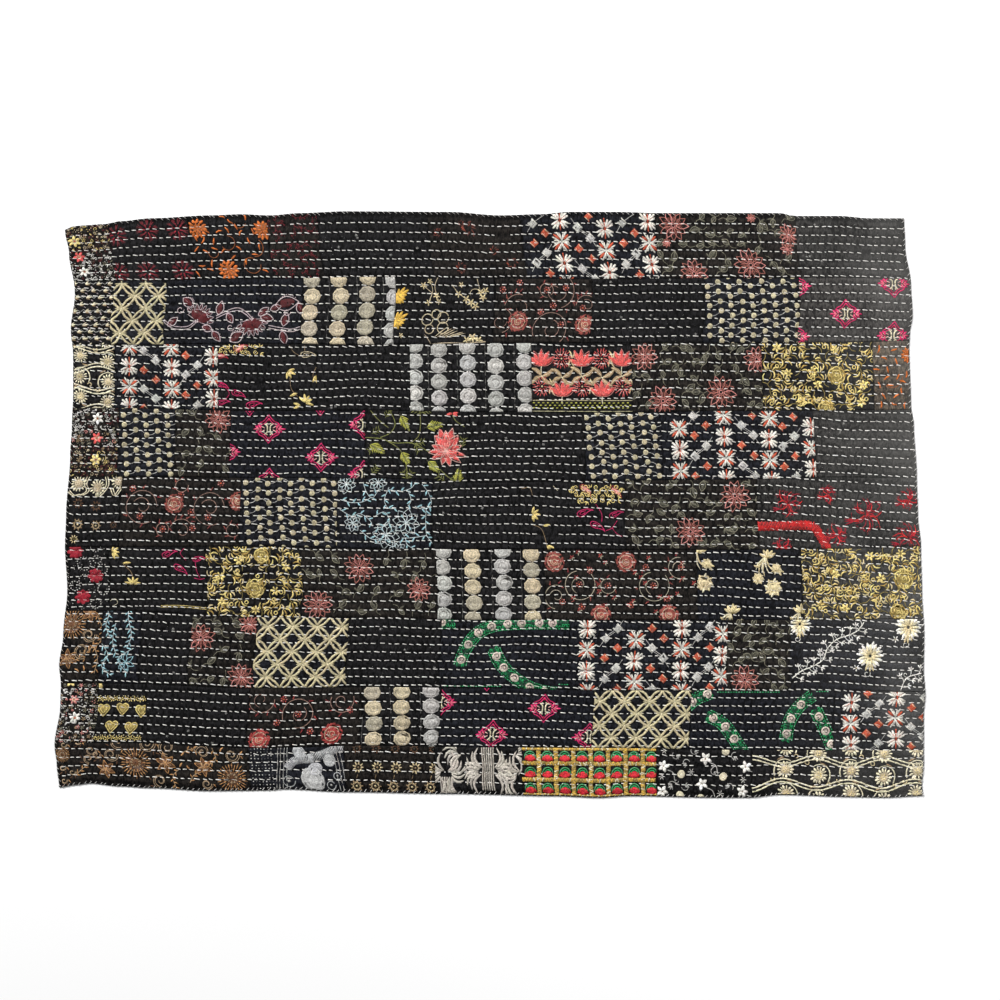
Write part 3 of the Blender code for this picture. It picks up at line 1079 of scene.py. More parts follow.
def scroll_roses(work, roses, spirals, blooms, petal=DEEP_CORAL, stem=ROSE_STEM, worn=0):
    """Roses among thin scrolling stems with small fuzzy flowers."""
    for x, y, reach, start, sweep in spirals:
        work.arc(x, y, start, sweep, reach, 1.8, stem, last=0.84 * reach, high=0.5)
        if reach > 17:
            work.arc(x, y, start + 0.5 * sweep, 300, 0.55 * reach, 1.6, stem,
                     last=0.22 * reach, high=0.5)
        for number in range(5):
            turn = start + sweep * (0.1 + 0.2 * number)
            root = away(x, y, turn, 1.05 * reach)
            spot(work, *root, 2.6, petal if number % 2 else DIM_RED, sides=6, high=0.6)
            work.leaf(*root, turn + 40, 7, 2.6, petal)
    for x, y in blooms:
        for number in range(7):
            place = away(x, y, 51 * number, 4.6)
            spot(work, *place, 2.3, petal if number % 3 else PINK, sides=5, high=0.6)
        spot(work, x, y, 3, RUST, sides=6, high=0.7)
    for _ in range(worn):
        x = work.within(4, work.width - 4)
        y = work.within(4, work.height - 4)
        for turn in (10, 80, 160, 230, 300):
            work.leaf(x, y, turn, 5.5, 3.2, stem if turn < 100 else BRICK, high=0.45)
    for x, y, reach in roses:
        fuzzy_rose(work, x, y, reach, petal)


def gold_rose(work, x, y, reach):
    """A full cabbage rose of overlapping petals, coiling inwards on a darker ground."""
    work.pad(x, y, 0.9 * reach, MOSS, COIL, sides=12, lobes=6, frill=0.08, high=0.5)
    for ring, count, width in ((0.78, 6, 3.1), (0.5, 5, 2.7)):
        for number in range(count):
            turn = 360 * number / count + 40 * ring
            start = away(x, y, turn, 0.5 * ring * reach)
            shade = OCHRE if number % 3 == 2 else GOLD
            work.arc(*start, turn - 75, 150, 0.5 * ring * reach, width, shade, high=1.1)
    work.arc(x, y, 0, 400, 0.06 * reach, 2.2, GOLD, last=0.24 * reach, high=1.3)


def gold_spray(work, x, y, turn):
    """Curved leaves swept one way from a bent stem, and a ring-shaped bud."""
    side = work.one_of((-1, 1))
    work.line(turned(x, y, turn + 180, [-3, 5, 12], [0, 2.5 * side, 0]), 1.8, MOSS)
    for number, shade in enumerate((GOLD, OCHRE, GOLD, SAND)):
        lean = turn + side * (-62 + 38 * number)
        work.leaf(*away(x, y, lean, 3), lean, 16 - 1.4 * number, 4.1, shade,
                  bend=0.26 * side, high=0.95)
    if work.chance.random() < 0.4:
        bud = turned(x, y, turn, [3], [-12 * side])[0]
        work.arc(*bud, 0, 345, 3, 2.4, GOLD, high=0.95)


def gold_roses(work, roses, flowers, spacing):
    """Gold roses among many curved leaves, buds and small flowers."""
    clear = [*roses, *((x, y, 8) for x, y in flowers)]
    rows = max(round(work.height / spacing), 1)
    for row in range(rows):
        x = work.within(-5, 8)
        while x < work.width + 4:
            y = (row + 0.5) * work.height / rows + work.stray(3)
            if all(math.hypot(x - cx, y - cy) > reach + 2 for cx, cy, reach in clear):
                gold_spray(work, x, y, work.within(0, 360))
            x += spacing * work.within(0.85, 1.15)
    for x, y in flowers:
        bloom(work, x, y, 9, GOLD, MOSS, petals=6, squash=0.6)
    each(work, gold_rose, roses)


# ---------------------------------------------------------------- motifs: small flowers
def tiny_thing(work, x, y, colours):
    """One of the little flowers, curls, leaves or knots that fill a meadow."""
    kind = work.chance.randrange(5)
    colour = work.one_of(colours)
    turn = work.within(0, 360)
    if kind == 0:
        bloom(work, x, y, 4.3, colour, work.one_of(colours), squash=0.65)
    elif kind == 1:
        work.arc(x, y, turn, 300, 3.6, 1.4, colour, last=1.6)
        spot(work, x, y, 1.2, work.one_of(colours))
    elif kind == 2:
        work.fan(x, y, turn, (-32, 0, 32), 5.5, 2.3, colour)
    elif kind == 3:
        work.leaf(x - 1, y, turn, 7, 3.4, colour, bend=0.2)
        spot(work, x + 2.5, y + 3, 1.5, work.one_of(colours))
    else:
        for number in range(3):
            spot(work, *away(x, y, turn + 120 * number, 2.6), 1.5, colour)


MEADOW_PITCH = 7.2


def meadow(work, flowers, bands):
    """Tiny flowers all over, in bands of colours down the patch, with a few bigger ones."""
    rows = round(work.height / MEADOW_PITCH)
    for row in range(rows):
        share = (row + 0.5) / rows
        colours = next(colours for limit, colours in bands if share <= limit)
        for number in range(round(work.width / MEADOW_PITCH) + 1):
            x = (number + 0.5 * (row % 2)) * MEADOW_PITCH + work.stray(0.9)
            y = share * work.height + work.stray(0.9)
            if all(math.hypot(x - cx, y - cy) > reach for cx, cy, reach, colour in flowers):
                tiny_thing(work, x, y, colours)
    for x, y, reach, colour in flowers:
        bloom(work, x, y, reach, colour, RUST, petals=6, squash=0.62)
        bloom(work, x, y, 0.5 * reach, CREAM, RUST, petals=6, high=0.95)


YELLOW_BAND = (GOLD, MAROON, TAN, MAROON, BEIGE)
WHITE_BAND = (WHITE, GREY, OLIVE, WHITE, MAROON)
GREY_BAND = (GREY, WHITE, TAN, OLIVE, PINK)


def scattered_leaves(work, leaves, colour, length, width):
    """Single leaves of one colour, each at its own place and turn."""
    for x, y, turn in leaves:
        start = away(x, y, turn, -0.5 * length)
        work.leaf(*start, turn, length, width, colour, work.within(-0.2, 0.2), high=0.8)


def maroon_blossoms(work, flowers):
    """Big dark red blossoms, quilted over, some with a white knot."""
    for x, y, knot in flowers:
        spin = work.within(0, 30)
        work.rays(x, y, 11, 7.5, 14, 2.8, DARK_RED, first=spin, leans=(-11, 0, 11),
                  high=0.25)
        work.rays(x, y, 6, 3, 8.5, 4.6, CRIMSON, first=spin, high=0.3)
        spot(work, x, y, 3, DARK, sides=6, high=0.4)
        if knot:
            spot(work, x + 3, y + 4, 2.4, WHITE, high=1.1)


def marigolds(work, flowers, leaves, rings):
    """Orange marigolds, leaves and tendrils."""
    for x, y, reach, start, sweep in rings:
        work.arc(x, y, start, sweep, reach, 1.7, TENDRIL, last=0.75 * reach, high=0.6)
    scattered_leaves(work, leaves, ORANGE, 14, 4.6)
    for x, y, reach in flowers:
        work.pad(x, y, 0.85 * reach, TENDRIL, TABLET, sides=12, lobes=6, frill=0.08, high=0.3)
        for ring, count, size, high in ((0.5, 12, 0.3, 0.8), (0.26, 9, 0.22, 1),
                                        (0.04, 6, 0.18, 1.2)):
            work.rays(x, y, count, ring * reach, 0.46 * reach, size * reach, ORANGE,
                      first=70 * ring, leans=(8,), high=high)


def faint_sprigs(work):
    """Thin bent stems with a few tiny leaves and knots, hardly seen against the cloth."""
    spacing, size = 14, 6
    for row in range(round(work.height / spacing)):
        x = work.within(0, spacing)
        while x < work.width:
            y = (row + 0.5) * spacing + work.stray(3)
            turn = work.within(0, 360)
            stem = turned(x, y, turn, [0, size, 2 * size], [0, 0.3 * size, 0])
            work.line(stem, 1.2, DIM_RED, high=0.3)
            for place, lean in zip(stem, (-40, 40, -15)):
                work.leaf(*place, turn + lean, 0.75 * size, 0.34 * size, DIM_RED, high=0.35)
                spot(work, *(place + 2.5), 1.3, DIM_RED, sides=4, high=0.4)
            x += spacing * work.within(0.8, 1.3)


def worn_blooms(work, places):
    """Rough little flowers, rubbed thin and quilted over."""
    for x, y, reach in places:
        for number in range(12):
            turn = 30 * number + work.stray(12)
            start = away(x, y, turn, reach * work.within(0.2, 0.6))
            shade = RUST if number == 5 else RUSSET
            work.leaf(*start, turn + 70, 0.55 * reach, 0.26 * reach, shade, high=0.4)


def crescents(work):
    """Rows of cream half moons in a net of grey threads."""
    for row in range(round(work.height / 12) + 1):
        y = 12 * row + 3
        work.line([(-2 + 5.25 * number, y + 3 * (number % 2) + work.stray(0.6))
                   for number in range(round(work.width / 5.25) + 2)], 1.4, GREY, high=0.45)
        for number in range(round(work.width / 21) + 2):
            x = 21 * number - 10.5 * (row % 2) + 4 + work.stray(0.8)
            for lean, length, colour in ((-38, 9, CREAM), (-12, 11.5, CREAM), (14, 9, TAN)):
                work.leaf(x - 5, y + 3.5, lean, length, 4.2, colour, high=0.75)
            work.leaf(x + 4, y + 6, 30, 5.5, 2.2, MAUVE_WHITE)


# ---------------------------------------------------------------- motifs: suns and waves
def sun(work, x, y, reach, heart):
    """A round head with a frill of short petals."""
    work.rays(x, y, 14, 0.5 * reach, 0.55 * reach, 0.35 * reach, CREAM, stray=2)
    work.pad(x, y, 0.58 * reach, BEIGE, COIL, sides=10, lobes=5, frill=0.04, high=0.85)
    bloom(work, x, y, 0.42 * reach, heart, TAN, petals=6, high=1.15)


def wave(work, y, rise, pitch, phase):
    """A pair of cords that run in waves side by side across the patch."""
    length = work.width + 8
    along = np.linspace(0, length, max(round(length / 6), 4) + 1)
    for side in (-3, 3):
        lift = y + rise * np.sin(2 * np.pi * (along / pitch + phase)) + side
        work.line(np.stack((along - 4, lift), 1), 4, CREAM, step=6.5)


def sun_waves(work, x, y, pitch, drop, reach):
    """Suns in staggered columns, between waves of paired cords that hook round them."""
    for row in range(-1, math.ceil(work.height / drop) + 1):
        wave(work, y + drop * row + 0.62 * drop, 0.17 * drop, 2 * pitch, 0.25 + 0.5 * (row % 2))
        for column in range(math.ceil(work.width / pitch) + 1):
            at = x + pitch * column + work.stray(1)
            down = y + drop * row + 0.28 * drop * (column % 2) + work.stray(1)
            side = 1 if (row + column) % 2 else -1
            work.arc(at, down, 90 - 60 * side, -150 * side, reach + 5, 4, CREAM,
                     last=reach + 2.5, taper=0.6)
            hook = away(at, down, 90 - 50 * side, reach + 10)
            work.arc(*hook, 200, 260 * side, 4.6, 2.4, SAND, last=2)
            sun(work, at, down, reach, GOLD)
            work.leaf(at - 2 * side, down + reach + 1, 90 + 65 * side, reach, 4, TAN)


# ---------------------------------------------------------------- motifs: left border
def red_flowers(work, flowers, rings):
    """Flat dark red flowers with lobed rims, rings of white knots, and knots strewn between."""
    for number in range(90):
        x = work.within(2, work.width - 2)
        y = work.within(2, work.height - 2)
        spot(work, x, y, work.within(0.7, 1.2), WHITE, sides=4)
    for x, y, reach in flowers:
        for turn in (-130, -90, -50, -10, 35, 80, 125, 175):
            place = away(x, y, turn, 0.62 * reach)
            work.pad(*place, 0.36 * reach, CRIMSON, TABLET, sides=8, turn=turn, squash=0.8,
                     high=0.5)
        work.pad(x, y, 0.6 * reach, CRIMSON, TABLET, sides=9, high=0.6)
        work.fan(x, y, 0, (-125, -90, -55), 0.8 * reach, 0.16 * reach, MAROON, high=1)
    for x, y, reach in rings:
        count = max(round(reach * 1.3), 5)
        for number in range(count):
            turn = 360 * number / count
            place = away(x, y, turn, reach * work.within(0.9, 1.1))
            spot(work, *place, 1.6, WHITE)


def small_blossoms(work, flowers):
    """Little heads of plump petals about a dark eye, tipped in another colour."""
    for x, y, reach, colour, heart in flowers:
        for number in range(9):
            turn = 40 * number
            start = away(x, y, turn, 0.3 * reach)
            work.leaf(*start, turn, 0.7 * reach, 0.36 * reach, colour, high=0.7)
            spot(work, *away(x, y, turn + 20, 0.55 * reach), 0.15 * reach, heart)
        spot(work, x, y, 0.26 * reach, heart, high=0.9)


def rayed_sun(work, x, y, reach):
    """A big head: a fringe of thin rays, then rounds of short petals dotted with knots."""
    for number in range(28):
        turn = 360 * number / 28
        length = reach * work.within(0.34, 0.44)
        work.leaf(*away(x, y, turn, 0.62 * reach), turn, length, 0.09 * reach, COPPER)
    work.pad(x, y, 0.66 * reach, DARK_COPPER, COIL, sides=14, high=0.35)
    for ring, count, first, shade in ((0.4, 14, 0, COPPER), (0.14, 9, 0.5, TAN)):
        for number in range(count):
            turn = 360 * (number + first) / count
            work.leaf(*away(x, y, turn, ring * reach), turn, 0.28 * reach, 0.14 * reach, shade,
                      high=0.9)
            spot(work, *away(x, y, turn + 13, (ring + 0.16) * reach), 1.2, BEIGE, sides=4,
                 high=1.1)


def star_flower(work, x, y, reach, colour, petals=6, fill=None):
    """A flower of petals in outline about a spot."""
    for number in range(petals):
        turn = 20 + 360 * number / petals
        work.loop(x, y, turn, reach, 0.42 * reach, 1.7, colour, fill)
    spot(work, x, y, 0.18 * reach, colour, high=0.9)


def leafy_vine(work, points, colour, leaf, size, every=2, width=1.6):
    """A stem with leaves to either side of it in turn."""
    work.line(points, width, colour)
    for number, place, ahead in list(headings(smoothed(points, 5), 1))[::every]:
        lean = 48 if (number // every) % 2 else -48
        length = size * work.within(0.85, 1.15)
        work.leaf(*place, ahead + lean, length, 0.42 * size, leaf)


def copper_scrolls(work, suns, stars_at, spirals, stems, leaves):
    """Copper-coloured rayed heads, star flowers and spirals on curving stems."""
    for points in stems:
        leafy_vine(work, points, BISCUIT, COPPER, 8, every=1, width=1.8)
    for x, y, reach, start, sweep in spirals:
        for share in (1, 0.76):
            work.arc(x, y, start, sweep, share * reach, 1.7, BISCUIT, last=0.16 * reach)
        for lean in (0, 45, 90):
            root = away(x, y, start + lean, 1.08 * reach)
            work.leaf(*root, start + lean + 60, 8, 2.6, DARK_COPPER if lean else COPPER)
    scattered_leaves(work, leaves, COPPER, 11, 4.4)
    for x, y, reach in stars_at:
        star_flower(work, x, y, reach, COPPER, fill=DARK_COPPER)
        star_flower(work, x, y, 0.5 * reach, BISCUIT, petals=5)
    each(work, rayed_sun, suns)


def blue_sprigs(work, stems, heads):
    """Pale stems with blue leaves, and a blue flower in outline."""
    for points in stems:
        leafy_vine(work, points, PALE_BLUE, SKY, 9, every=1)
    for x, y, reach in heads:
        star_flower(work, x, y, reach, SKY)


def heart(work, x, y, size):
    """A gold heart in satin stitches, with a cord round it."""
    for side in (-1, 1):
        work.pad(x + 0.34 * side * size, y - 0.18 * size, 0.44 * size, MOSS, TABLET, sides=9,
                 high=0.55)
        work.leaf(x + 0.3 * side * size, y - 0.2 * size, 90 + 20 * side, 0.95 * size,
                  0.6 * size, MOSS, high=0.55)
        aside = np.array((0, 0.12, 0.4, 0.72, 0.76, 0.44, 0)) * side * size
        lift = np.array((-0.3, -0.54, -0.64, -0.42, -0.1, 0.36, 0.9)) * size
        for share, width in ((1, 2.6), (0.55, 2.2)):
            work.line(np.stack((x + share * aside, y + share * lift), 1), width, GOLD, high=1,
                      step=5)


def hearts(work, places, bands, drops):
    """Gold hearts in staggered rows between bands of little flowers."""
    for x, y in places:
        heart(work, x, y, 13.5)
    for x, y in drops:
        work.pad(x, y, 6.5, GOLD, DOME, sides=9, turn=70, squash=0.75)
        work.leaf(x - 1, y - 3, 240, 11, 4.5, GOLD)
    for y in bands:
        for number in range(round(work.width / 8) + 1):
            bloom(work, 8 * number, y + 1.5 * (number % 2), 5.4, GOLD, MOSS)
            spot(work, 8 * number + 4, y - 4.5, 1.5, CREAM)


# ---------------------------------------------------------------- motifs: paisleys
def paisley(work, x, y, turn, length, colour, fill=None):
    """A drop with a bent point, in outline, with a smaller one inside."""
    ahead = np.array((0.64, 0.4, 0.12, -0.16, -0.36, -0.4, -0.28, 0, 0.28, 0.54, 0.66))
    aside = np.array((0.16, -0.04, -0.16, -0.2, -0.14, 0, 0.14, 0.18, 0.12, 0.13, 0.2))
    if fill:
        work.leaf(*away(x, y, turn, -0.34 * length), turn, 0.8 * length,
                  0.3 * length, fill, high=0.4)
    work.line(turned(x, y, turn, ahead * length, aside * length), 2, colour, step=5)
    work.line(turned(x, y, turn, 0.52 * ahead[1:9] * length, 0.48 * aside[1:9] * length),
              1.7, colour, step=5)


def paisleys(work, drops, stems, leaves):
    """Small paisleys on bent stems, with clusters of gold leaves."""
    for colour, points in stems:
        work.line(points, 1.4, colour, high=0.45)
    each(work, paisley, drops)
    for x, y, turn, count in leaves:
        for number in range(count):
            lean = 38 * (number - (count - 1) / 2)
            work.leaf(x, y, turn + lean, 15, 5.8, GOLD, vein=MOSS)


def scroll_band(work, x, y, width, height):
    """A block of close gold leaves, curls and little rings."""
    for row in range(2):
        down = y + (row + 0.5) * height / 2
        for number in range(round(width / 9)):
            at = x + 9 * number + 4.5
            turn = work.within(0, 360)
            if number % 2:
                work.arc(at, down, turn, 330, 3.8, 2.1, GOLD, last=2.6)
                spot(work, at, down, 1.3, CREAM)
            else:
                work.fan(at, down + 1, turn, (-50, 0, 50), 7.5, 3.2, GOLD)


def paisley_band(work, bands, *paisley_work):
    """Paisleys beside bands of close gold leaves."""
    each(work, scroll_band, bands)
    paisleys(work, *paisley_work)


# ---------------------------------------------------------------- motifs: a garden
def dahlia(work, x, y, reach):
    """A round coral head of many short petals, pink towards its middle."""
    for share, count, colour in ((0.62, 19, CORAL), (0.38, 14, PINK), (0.16, 8, CORAL)):
        work.rays(x, y, count, share * reach, 0.42 * reach, 0.15 * reach, colour, leans=(8,),
                  stray=4, high=0.6)
    spot(work, x, y, 0.14 * reach, SAND, high=1)


def lily(work, x, y, turn, reach):
    """Coral petals fanned from a short stem, edged and veined in pink."""
    for lean in (-58, -29, 29, 58, 0):
        work.leaf(x, y, turn + lean, reach, 0.36 * reach, CORAL, vein=RED)
        work.loop(x, y, turn + lean, 1.04 * reach, 0.4 * reach, 1.3, PINK, high=0.75)
    work.line(turned(x, y, turn + 180, [0, 6, 13], [0, 1, 0]), 2.2, CREAM)


def checks(work, x, y, width, height):
    """A panel of small pale and dark squares."""
    size = 4.2
    for row in range(round(height / size)):
        for number in range(round(width / size / 2)):
            at = x + (2 * number + row % 2 + 0.5) * size
            work.stroke(at - 0.5 * size, y + (row + 0.5) * size, 0, size, 0.8 * size, LIME)
    for down in (y - 2, y + height + 2):
        work.line([(x, down), (x + width / 2, down), (x + width, down)], 1.8, KHAKI, step=8)


def garden(work):
    """Coral dahlias and lilies by turns among tan leaves, over a chequered band."""
    for number in range(5):
        x = 18 + 36 * number
        round_at, fan_at = (26, 88) if number % 2 else (72, 38)
        work.fan(x, 0.5 * (round_at + fan_at), 0, (-35, 35, 145, 215), 25, 9, TAN,
                 bend=0.12, vein=CREAM)
        lily(work, x, fan_at, -90, 27)
        dahlia(work, x, round_at, 17.5)
        work.fan(x + 18, round_at, 0, (-70, 70, 110, 250), 15, 4.6, SAND, bend=0.15)
    checks(work, 1, 97, work.width - 2, 14)


# ---------------------------------------------------------------- motifs: rose, vines and sprays
def lotus(work, x, y):
    """A full coral rose seen from the side, its petals edged and veined in pale pink."""
    petals = ((-158, 26, 11), (-22, 28, 11), (175, 30, 10), (12, 35, 10), (150, 27, 10),
              (35, 30, 10), (110, 23, 10), (75, 25, 10), (-128, 32, 15), (-54, 34, 15),
              (-108, 38, 16), (-74, 40, 16), (-92, 34, 14))
    for turn, length, width in petals:
        work.leaf(x, y, turn, length, width, CORAL, high=0.45)
        work.loop(x, y, turn, 1.04 * length, 1.02 * width, 1.9, BLUSH, high=1.1)
        work.line(turned(x, y, turn, [6, 0.75 * length], [0, 0]), 1.6, BRICK, high=1.1)


def rose_leaf(work, x, y, turn, length):
    """A toothed leaf: pairs of short stitches to either side of a dark midrib."""
    start = away(x, y, turn, -0.5 * length)
    work.leaf(*start, turn, 1.05 * length, 0.4 * length, FERN, high=0.4)
    for number in range(6):
        share = 0.06 + 0.145 * number
        place = away(*start, turn, share * length)
        for lean in (-40, 40):
            size = 0.42 * length * (1.12 - share)
            work.leaf(*place, turn + lean, size + 2.5, 3.4, LIME, high=0.8)
    work.line(turned(*start, turn, [-3, 0.5 * length, length], [0] * 3), 1.4, DARK_OLIVE,
              high=1.2)


def fern(work, x, y, turn):
    """A spray of thin paired leaves."""
    stem = turned(x, y, turn, [0, 8, 16], [0, 1, 0])
    work.line(stem, 1.6, FERN)
    for share in (2, 7, 12):
        place = away(x, y, turn, share)
        work.fan(*place, turn, (-50, 50), 9, 2.4, FERN)


def coral_rose(work):
    """One coral rose among olive leaves, ferns and long stems."""
    stems = (((-4, 47), (27, 49), (53, 56), (84, 56), (116, 71)), ((9, -1), (23, 16), (41, 30)),
             ((46, 3), (53, 23), (44, 39), (27, 47)), ((98, -1), (98, 25), (94, 44), (80, 56)),
             ((36, 51), (62, 68), (73, 95), (75, 116)), ((133, 99), (151, 113), (172, 120)),
             ((156, 6), (162, 16), (176, 25)))
    for points in stems:
        work.line(points, 2.2, FERN)
    each(work, fern, (
        (89, 56, -10), (89, 56, 60), (101, 3, -20), (101, 3, 200), (12, 40, -30), (12, 110, -50),
        (75, 118, -60), (75, 118, -120), (172, 60, -80), (142, 118, -150), (36, 12, -60),
        (150, 112, 30), (20, 64, 150)))
    each(work, rose_leaf, (
        (69, 20, 65, 28), (123, 25, -12, 31), (21, 66, 28, 31), (71, 82, 60, 26),
        (121, 94, 42, 27), (165, 109, -82, 26)))
    work.fan(156, 3, 0, (-10, 20, 170), 11, 6, CORAL)
    lotus(work, 144, 68)


def blue_flower(work, x, y, reach):
    """A flower of pointed petals in pale outline, with blue leaves inside."""
    for number in range(8):
        turn = 45 * number + 10
        work.loop(x, y, turn, reach, 0.66 * reach, 1.5, PALE_BLUE)
        if number % 2:
            work.leaf(*away(x, y, turn, 0.3 * reach), turn, 0.4 * reach, 0.16 * reach, SKY)


def blue_vine(work):
    """Curving pale stems with pairs of blue leaves, and outlined flowers."""
    stems = (((44, 7), (51, 24), (62, 33), (72, 19)), ((5, 36), (23, 41), (44, 40), (58, 33)),
             ((90, 15), (83, 36), (90, 50), (104, 50)), ((90, 19), (111, 21), (129, 15), (136, 5)),
             ((125, 22), (130, 36), (125, 46)), ((148, 7), (160, 22), (166, 41), (157, 50)),
             ((157, 50), (156, 75), (157, 96)), ((5, 53), (26, 64), (41, 60), (58, 71), (62, 81)),
             ((67, 64), (83, 57), (93, 71), (83, 81), (65, 84)), ((41, 88), (62, 103), (93, 103)),
             ((157, 96), (132, 100), (114, 101)), ((157, 96), (167, 110), (171, 122)),
             ((120, 101), (123, 112), (136, 120)), ((137, 46), (150, 50), (167, 46)))
    for points in stems:
        leafy_vine(work, points, PALE_BLUE, SKY, 10.5, width=1.7)
    each(work, blue_flower, (
        (14, 10, 17), (70, 7, 16), (28, 76, 15), (122, 74, 24), (86, 96, 24), (106, 121, 15)))


def spiky_flower(work, x, y, reach):
    """A loose dark red flower of thin, hooked petals."""
    for number in range(19):
        turn = -180 + 19 * number + work.stray(6)
        length = reach * work.within(0.55, 1)
        work.leaf(x, y, turn, length, 2.8, CRIMSON if number % 3 else RED,
                  bend=work.one_of((-0.25, 0.25)))
        tip = away(x, y, turn, 0.8 * length)
        work.leaf(*tip, turn + 100, 6.5, 2, CRIMSON)
    work.fan(x - 0.5 * reach, y + 0.3 * reach, 0, (160, 178, 196), 0.5 * reach, 3.4,
             CRIMSON)


def satin_band(work, points, step, width, lean, stitch, colour, teeth=0, high=0.8):
    """A band of satin stitches laid across its course; every third may stand out as a tooth."""
    for number, place, ahead in headings(smoothed(points, step)):
        wide = width + teeth * (number % 3 == 0)
        turn = ahead + lean
        work.stroke(*away(*place, turn, -0.5 * wide), turn, wide, stitch, colour, high=high)


def spiky_flowers(work, flowers, band):
    """Dark red flowers, and a broad red band with teeth."""
    each(work, spiky_flower, flowers)
    satin_band(work, band, 2.4, 17, 78, 3, RED, teeth=2.4, high=0.75)


def bouquet(work, x, y):
    """A gold lily over a fan of leaves, two buds and a full bloom."""
    work.fan(x, y + 6, 0, (-150, -120, -90, -60, -30), 17, 7.5, SAND, vein=MOSS)
    for number in range(6):
        lean = 66 + 13 * number
        work.leaf(x - 2, y + 4, lean, 30 + 2 * (number % 3), 4.4, CREAM if number % 2
                  else SAND, bend=0.14)
    for at, down, reach in ((x - 18, y + 41, 11), (x + 14, y + 24, 10), (x + 8, y + 57, 16)):
        work.pad(at, down, 0.86 * reach, SAND, COIL, sides=12, lobes=6, frill=0.1, high=0.7)
        work.rays(at, down, 8, 0.5 * reach, 0.6 * reach, 0.3 * reach, CREAM, SAND, leans=(25,),
                  high=0.85)
        work.leaf(at, down, 110, 0.6 * reach, 2, MOSS, high=1.3)
    for at, down, lean in ((17, 26, 20), (17, 26, 60), (-14, 22, 200), (-14, 22, 240)):
        work.leaf(x + at, y + down, lean, 12, 5.4, SAND, vein=MOSS)


def rosette(work, x, y):
    """A pale rosette with a dark curl laid on it."""
    work.pad(x, y, 8.4, ROSETTE, TABLET, sides=12, high=0.8)
    work.arc(x + 0.5, y, 200, 330, 5.04, 2.2, DARK, last=1.68, high=1.6)


BAND_WIDTH = 21
ROSETTE_PITCH = 27


def green_band(work, points):
    """A curving green band of swirls, edged in beads, with coiled rosettes along it."""
    course = smoothed(points, 4.4)
    since = 0.5 * ROSETTE_PITCH
    for number, (x, y), ahead in headings(course):
        turn = ahead + 90
        start = away(x, y, turn, -0.44 * BAND_WIDTH)
        work.stroke(*start, turn, 0.88 * BAND_WIDTH, 5.2, DARK_GREEN, high=0.35)
        for side in (-0.5, 0.5):
            bead = turned(x, y, ahead, [0], [side * BAND_WIDTH])[0]
            work.stroke(*bead, ahead, 3.4, 2.6, EMERALD if number % 3 else MINT, high=0.75)
        for side in (-0.24, 0.24):
            swirl = turned(x, y, ahead, [work.stray(0.8)], [side * BAND_WIDTH])[0]
            work.arc(*swirl, work.within(0, 360), 250, 2.9, 1.9, EMERALD, last=1.8, high=0.7)
        since += np.hypot(*(course[number + 1] - course[number]))
        if since > ROSETTE_PITCH:
            rosette(work, x, y)
            since -= ROSETTE_PITCH


def green_bands(work, bands, beads):
    """Green bands over bare cloth, and thin rows of green beads."""
    for left, right, y in beads:
        for number in range(round((right - left) / 4.6)):
            work.stroke(left + 4.6 * number, y, 0, 3.2, 2.6, EMERALD if number % 4 else MINT)
    for points in bands:
        green_band(work, points)


def white_branch(work, points):
    """A pale branch with curls and three-lobed buds on short stalks."""
    course = smoothed(points, 9)
    work.line(course, 2.8, WHITE, step=10, high=0.75)
    for number, place, ahead in headings(course, 1):
        side = 1 if number % 2 else -1
        stalk = ahead + 58 * side
        work.line(turned(*place, stalk, [0, 6, 11], [0, 1.5, 0]), 1.8, WHITE)
        tip = away(*place, stalk, 10)
        for lean in (10, 60, 110):
            work.leaf(*tip, ahead + lean * side, 7.5, 4.4, WHITE, high=0.8)
        if number % 3 == 0:
            curl = away(*place, ahead - 60 * side, 6)
            work.arc(*curl, ahead + 120 * side, 300 * side, 4, 1.6, WHITE, last=1.4)


def white_head(work, x, y, reach):
    """A large pale flower of pointed petals over a curl and a bud."""
    for ring, count, shade, high in ((0.42, 17, WHITE, 0.7), (0.26, 13, CREAM, 1),
                                     (0.06, 9, SAND, 1)):
        work.rays(x, y, count, ring * reach, 0.52 * reach, 0.25 * reach, shade, stray=3,
                  high=high)
    work.fan(x, y + 0.3 * reach, 0, (70, 90, 112), 0.8 * reach, 0.22 * reach, SAND,
             high=0.9)
    work.arc(x - 0.2 * reach, y + 1.15 * reach, -20, 330, 0.24 * reach, 2, WHITE, last=2)
    bloom(work, x - 0.9 * reach, y + 0.8 * reach, 7, WHITE, SAND)


def white_sprays(work, branches, heads):
    """Pale branches, and large pale flowers apart from them."""
    for points in branches:
        white_branch(work, points)
    each(work, white_head, heads)


# ---------------------------------------------------------------- motifs: vine in outline
def fringed_flower(work, x, y, turn):
    """A maroon flower opening from a pale knot, fringed with narrow outlined petals."""
    work.fan(x, y, turn, (-58, -30, 0, 30, 58), 24, 13, MAROON, high=0.5)
    for number in range(9):
        lean = -68 + 17 * number
        start = away(x, y, turn + lean, 19)
        work.loop(*start, turn + lean, 11, 5, 1.4, MAUVE_WHITE, MAROON)
    work.arc(x, y, turn - 80, 160, 20, 1.5, MAUVE_WHITE)
    for lean in (-84, 84):
        work.line(turned(x, y, turn + lean, [0, 10, 21], [0, 0, 0]), 1.6, MAUVE_WHITE)
    for number in range(4):
        spot(work, *away(x, y, turn + 90 * number, 2.6), 3, MAUVE_WHITE)


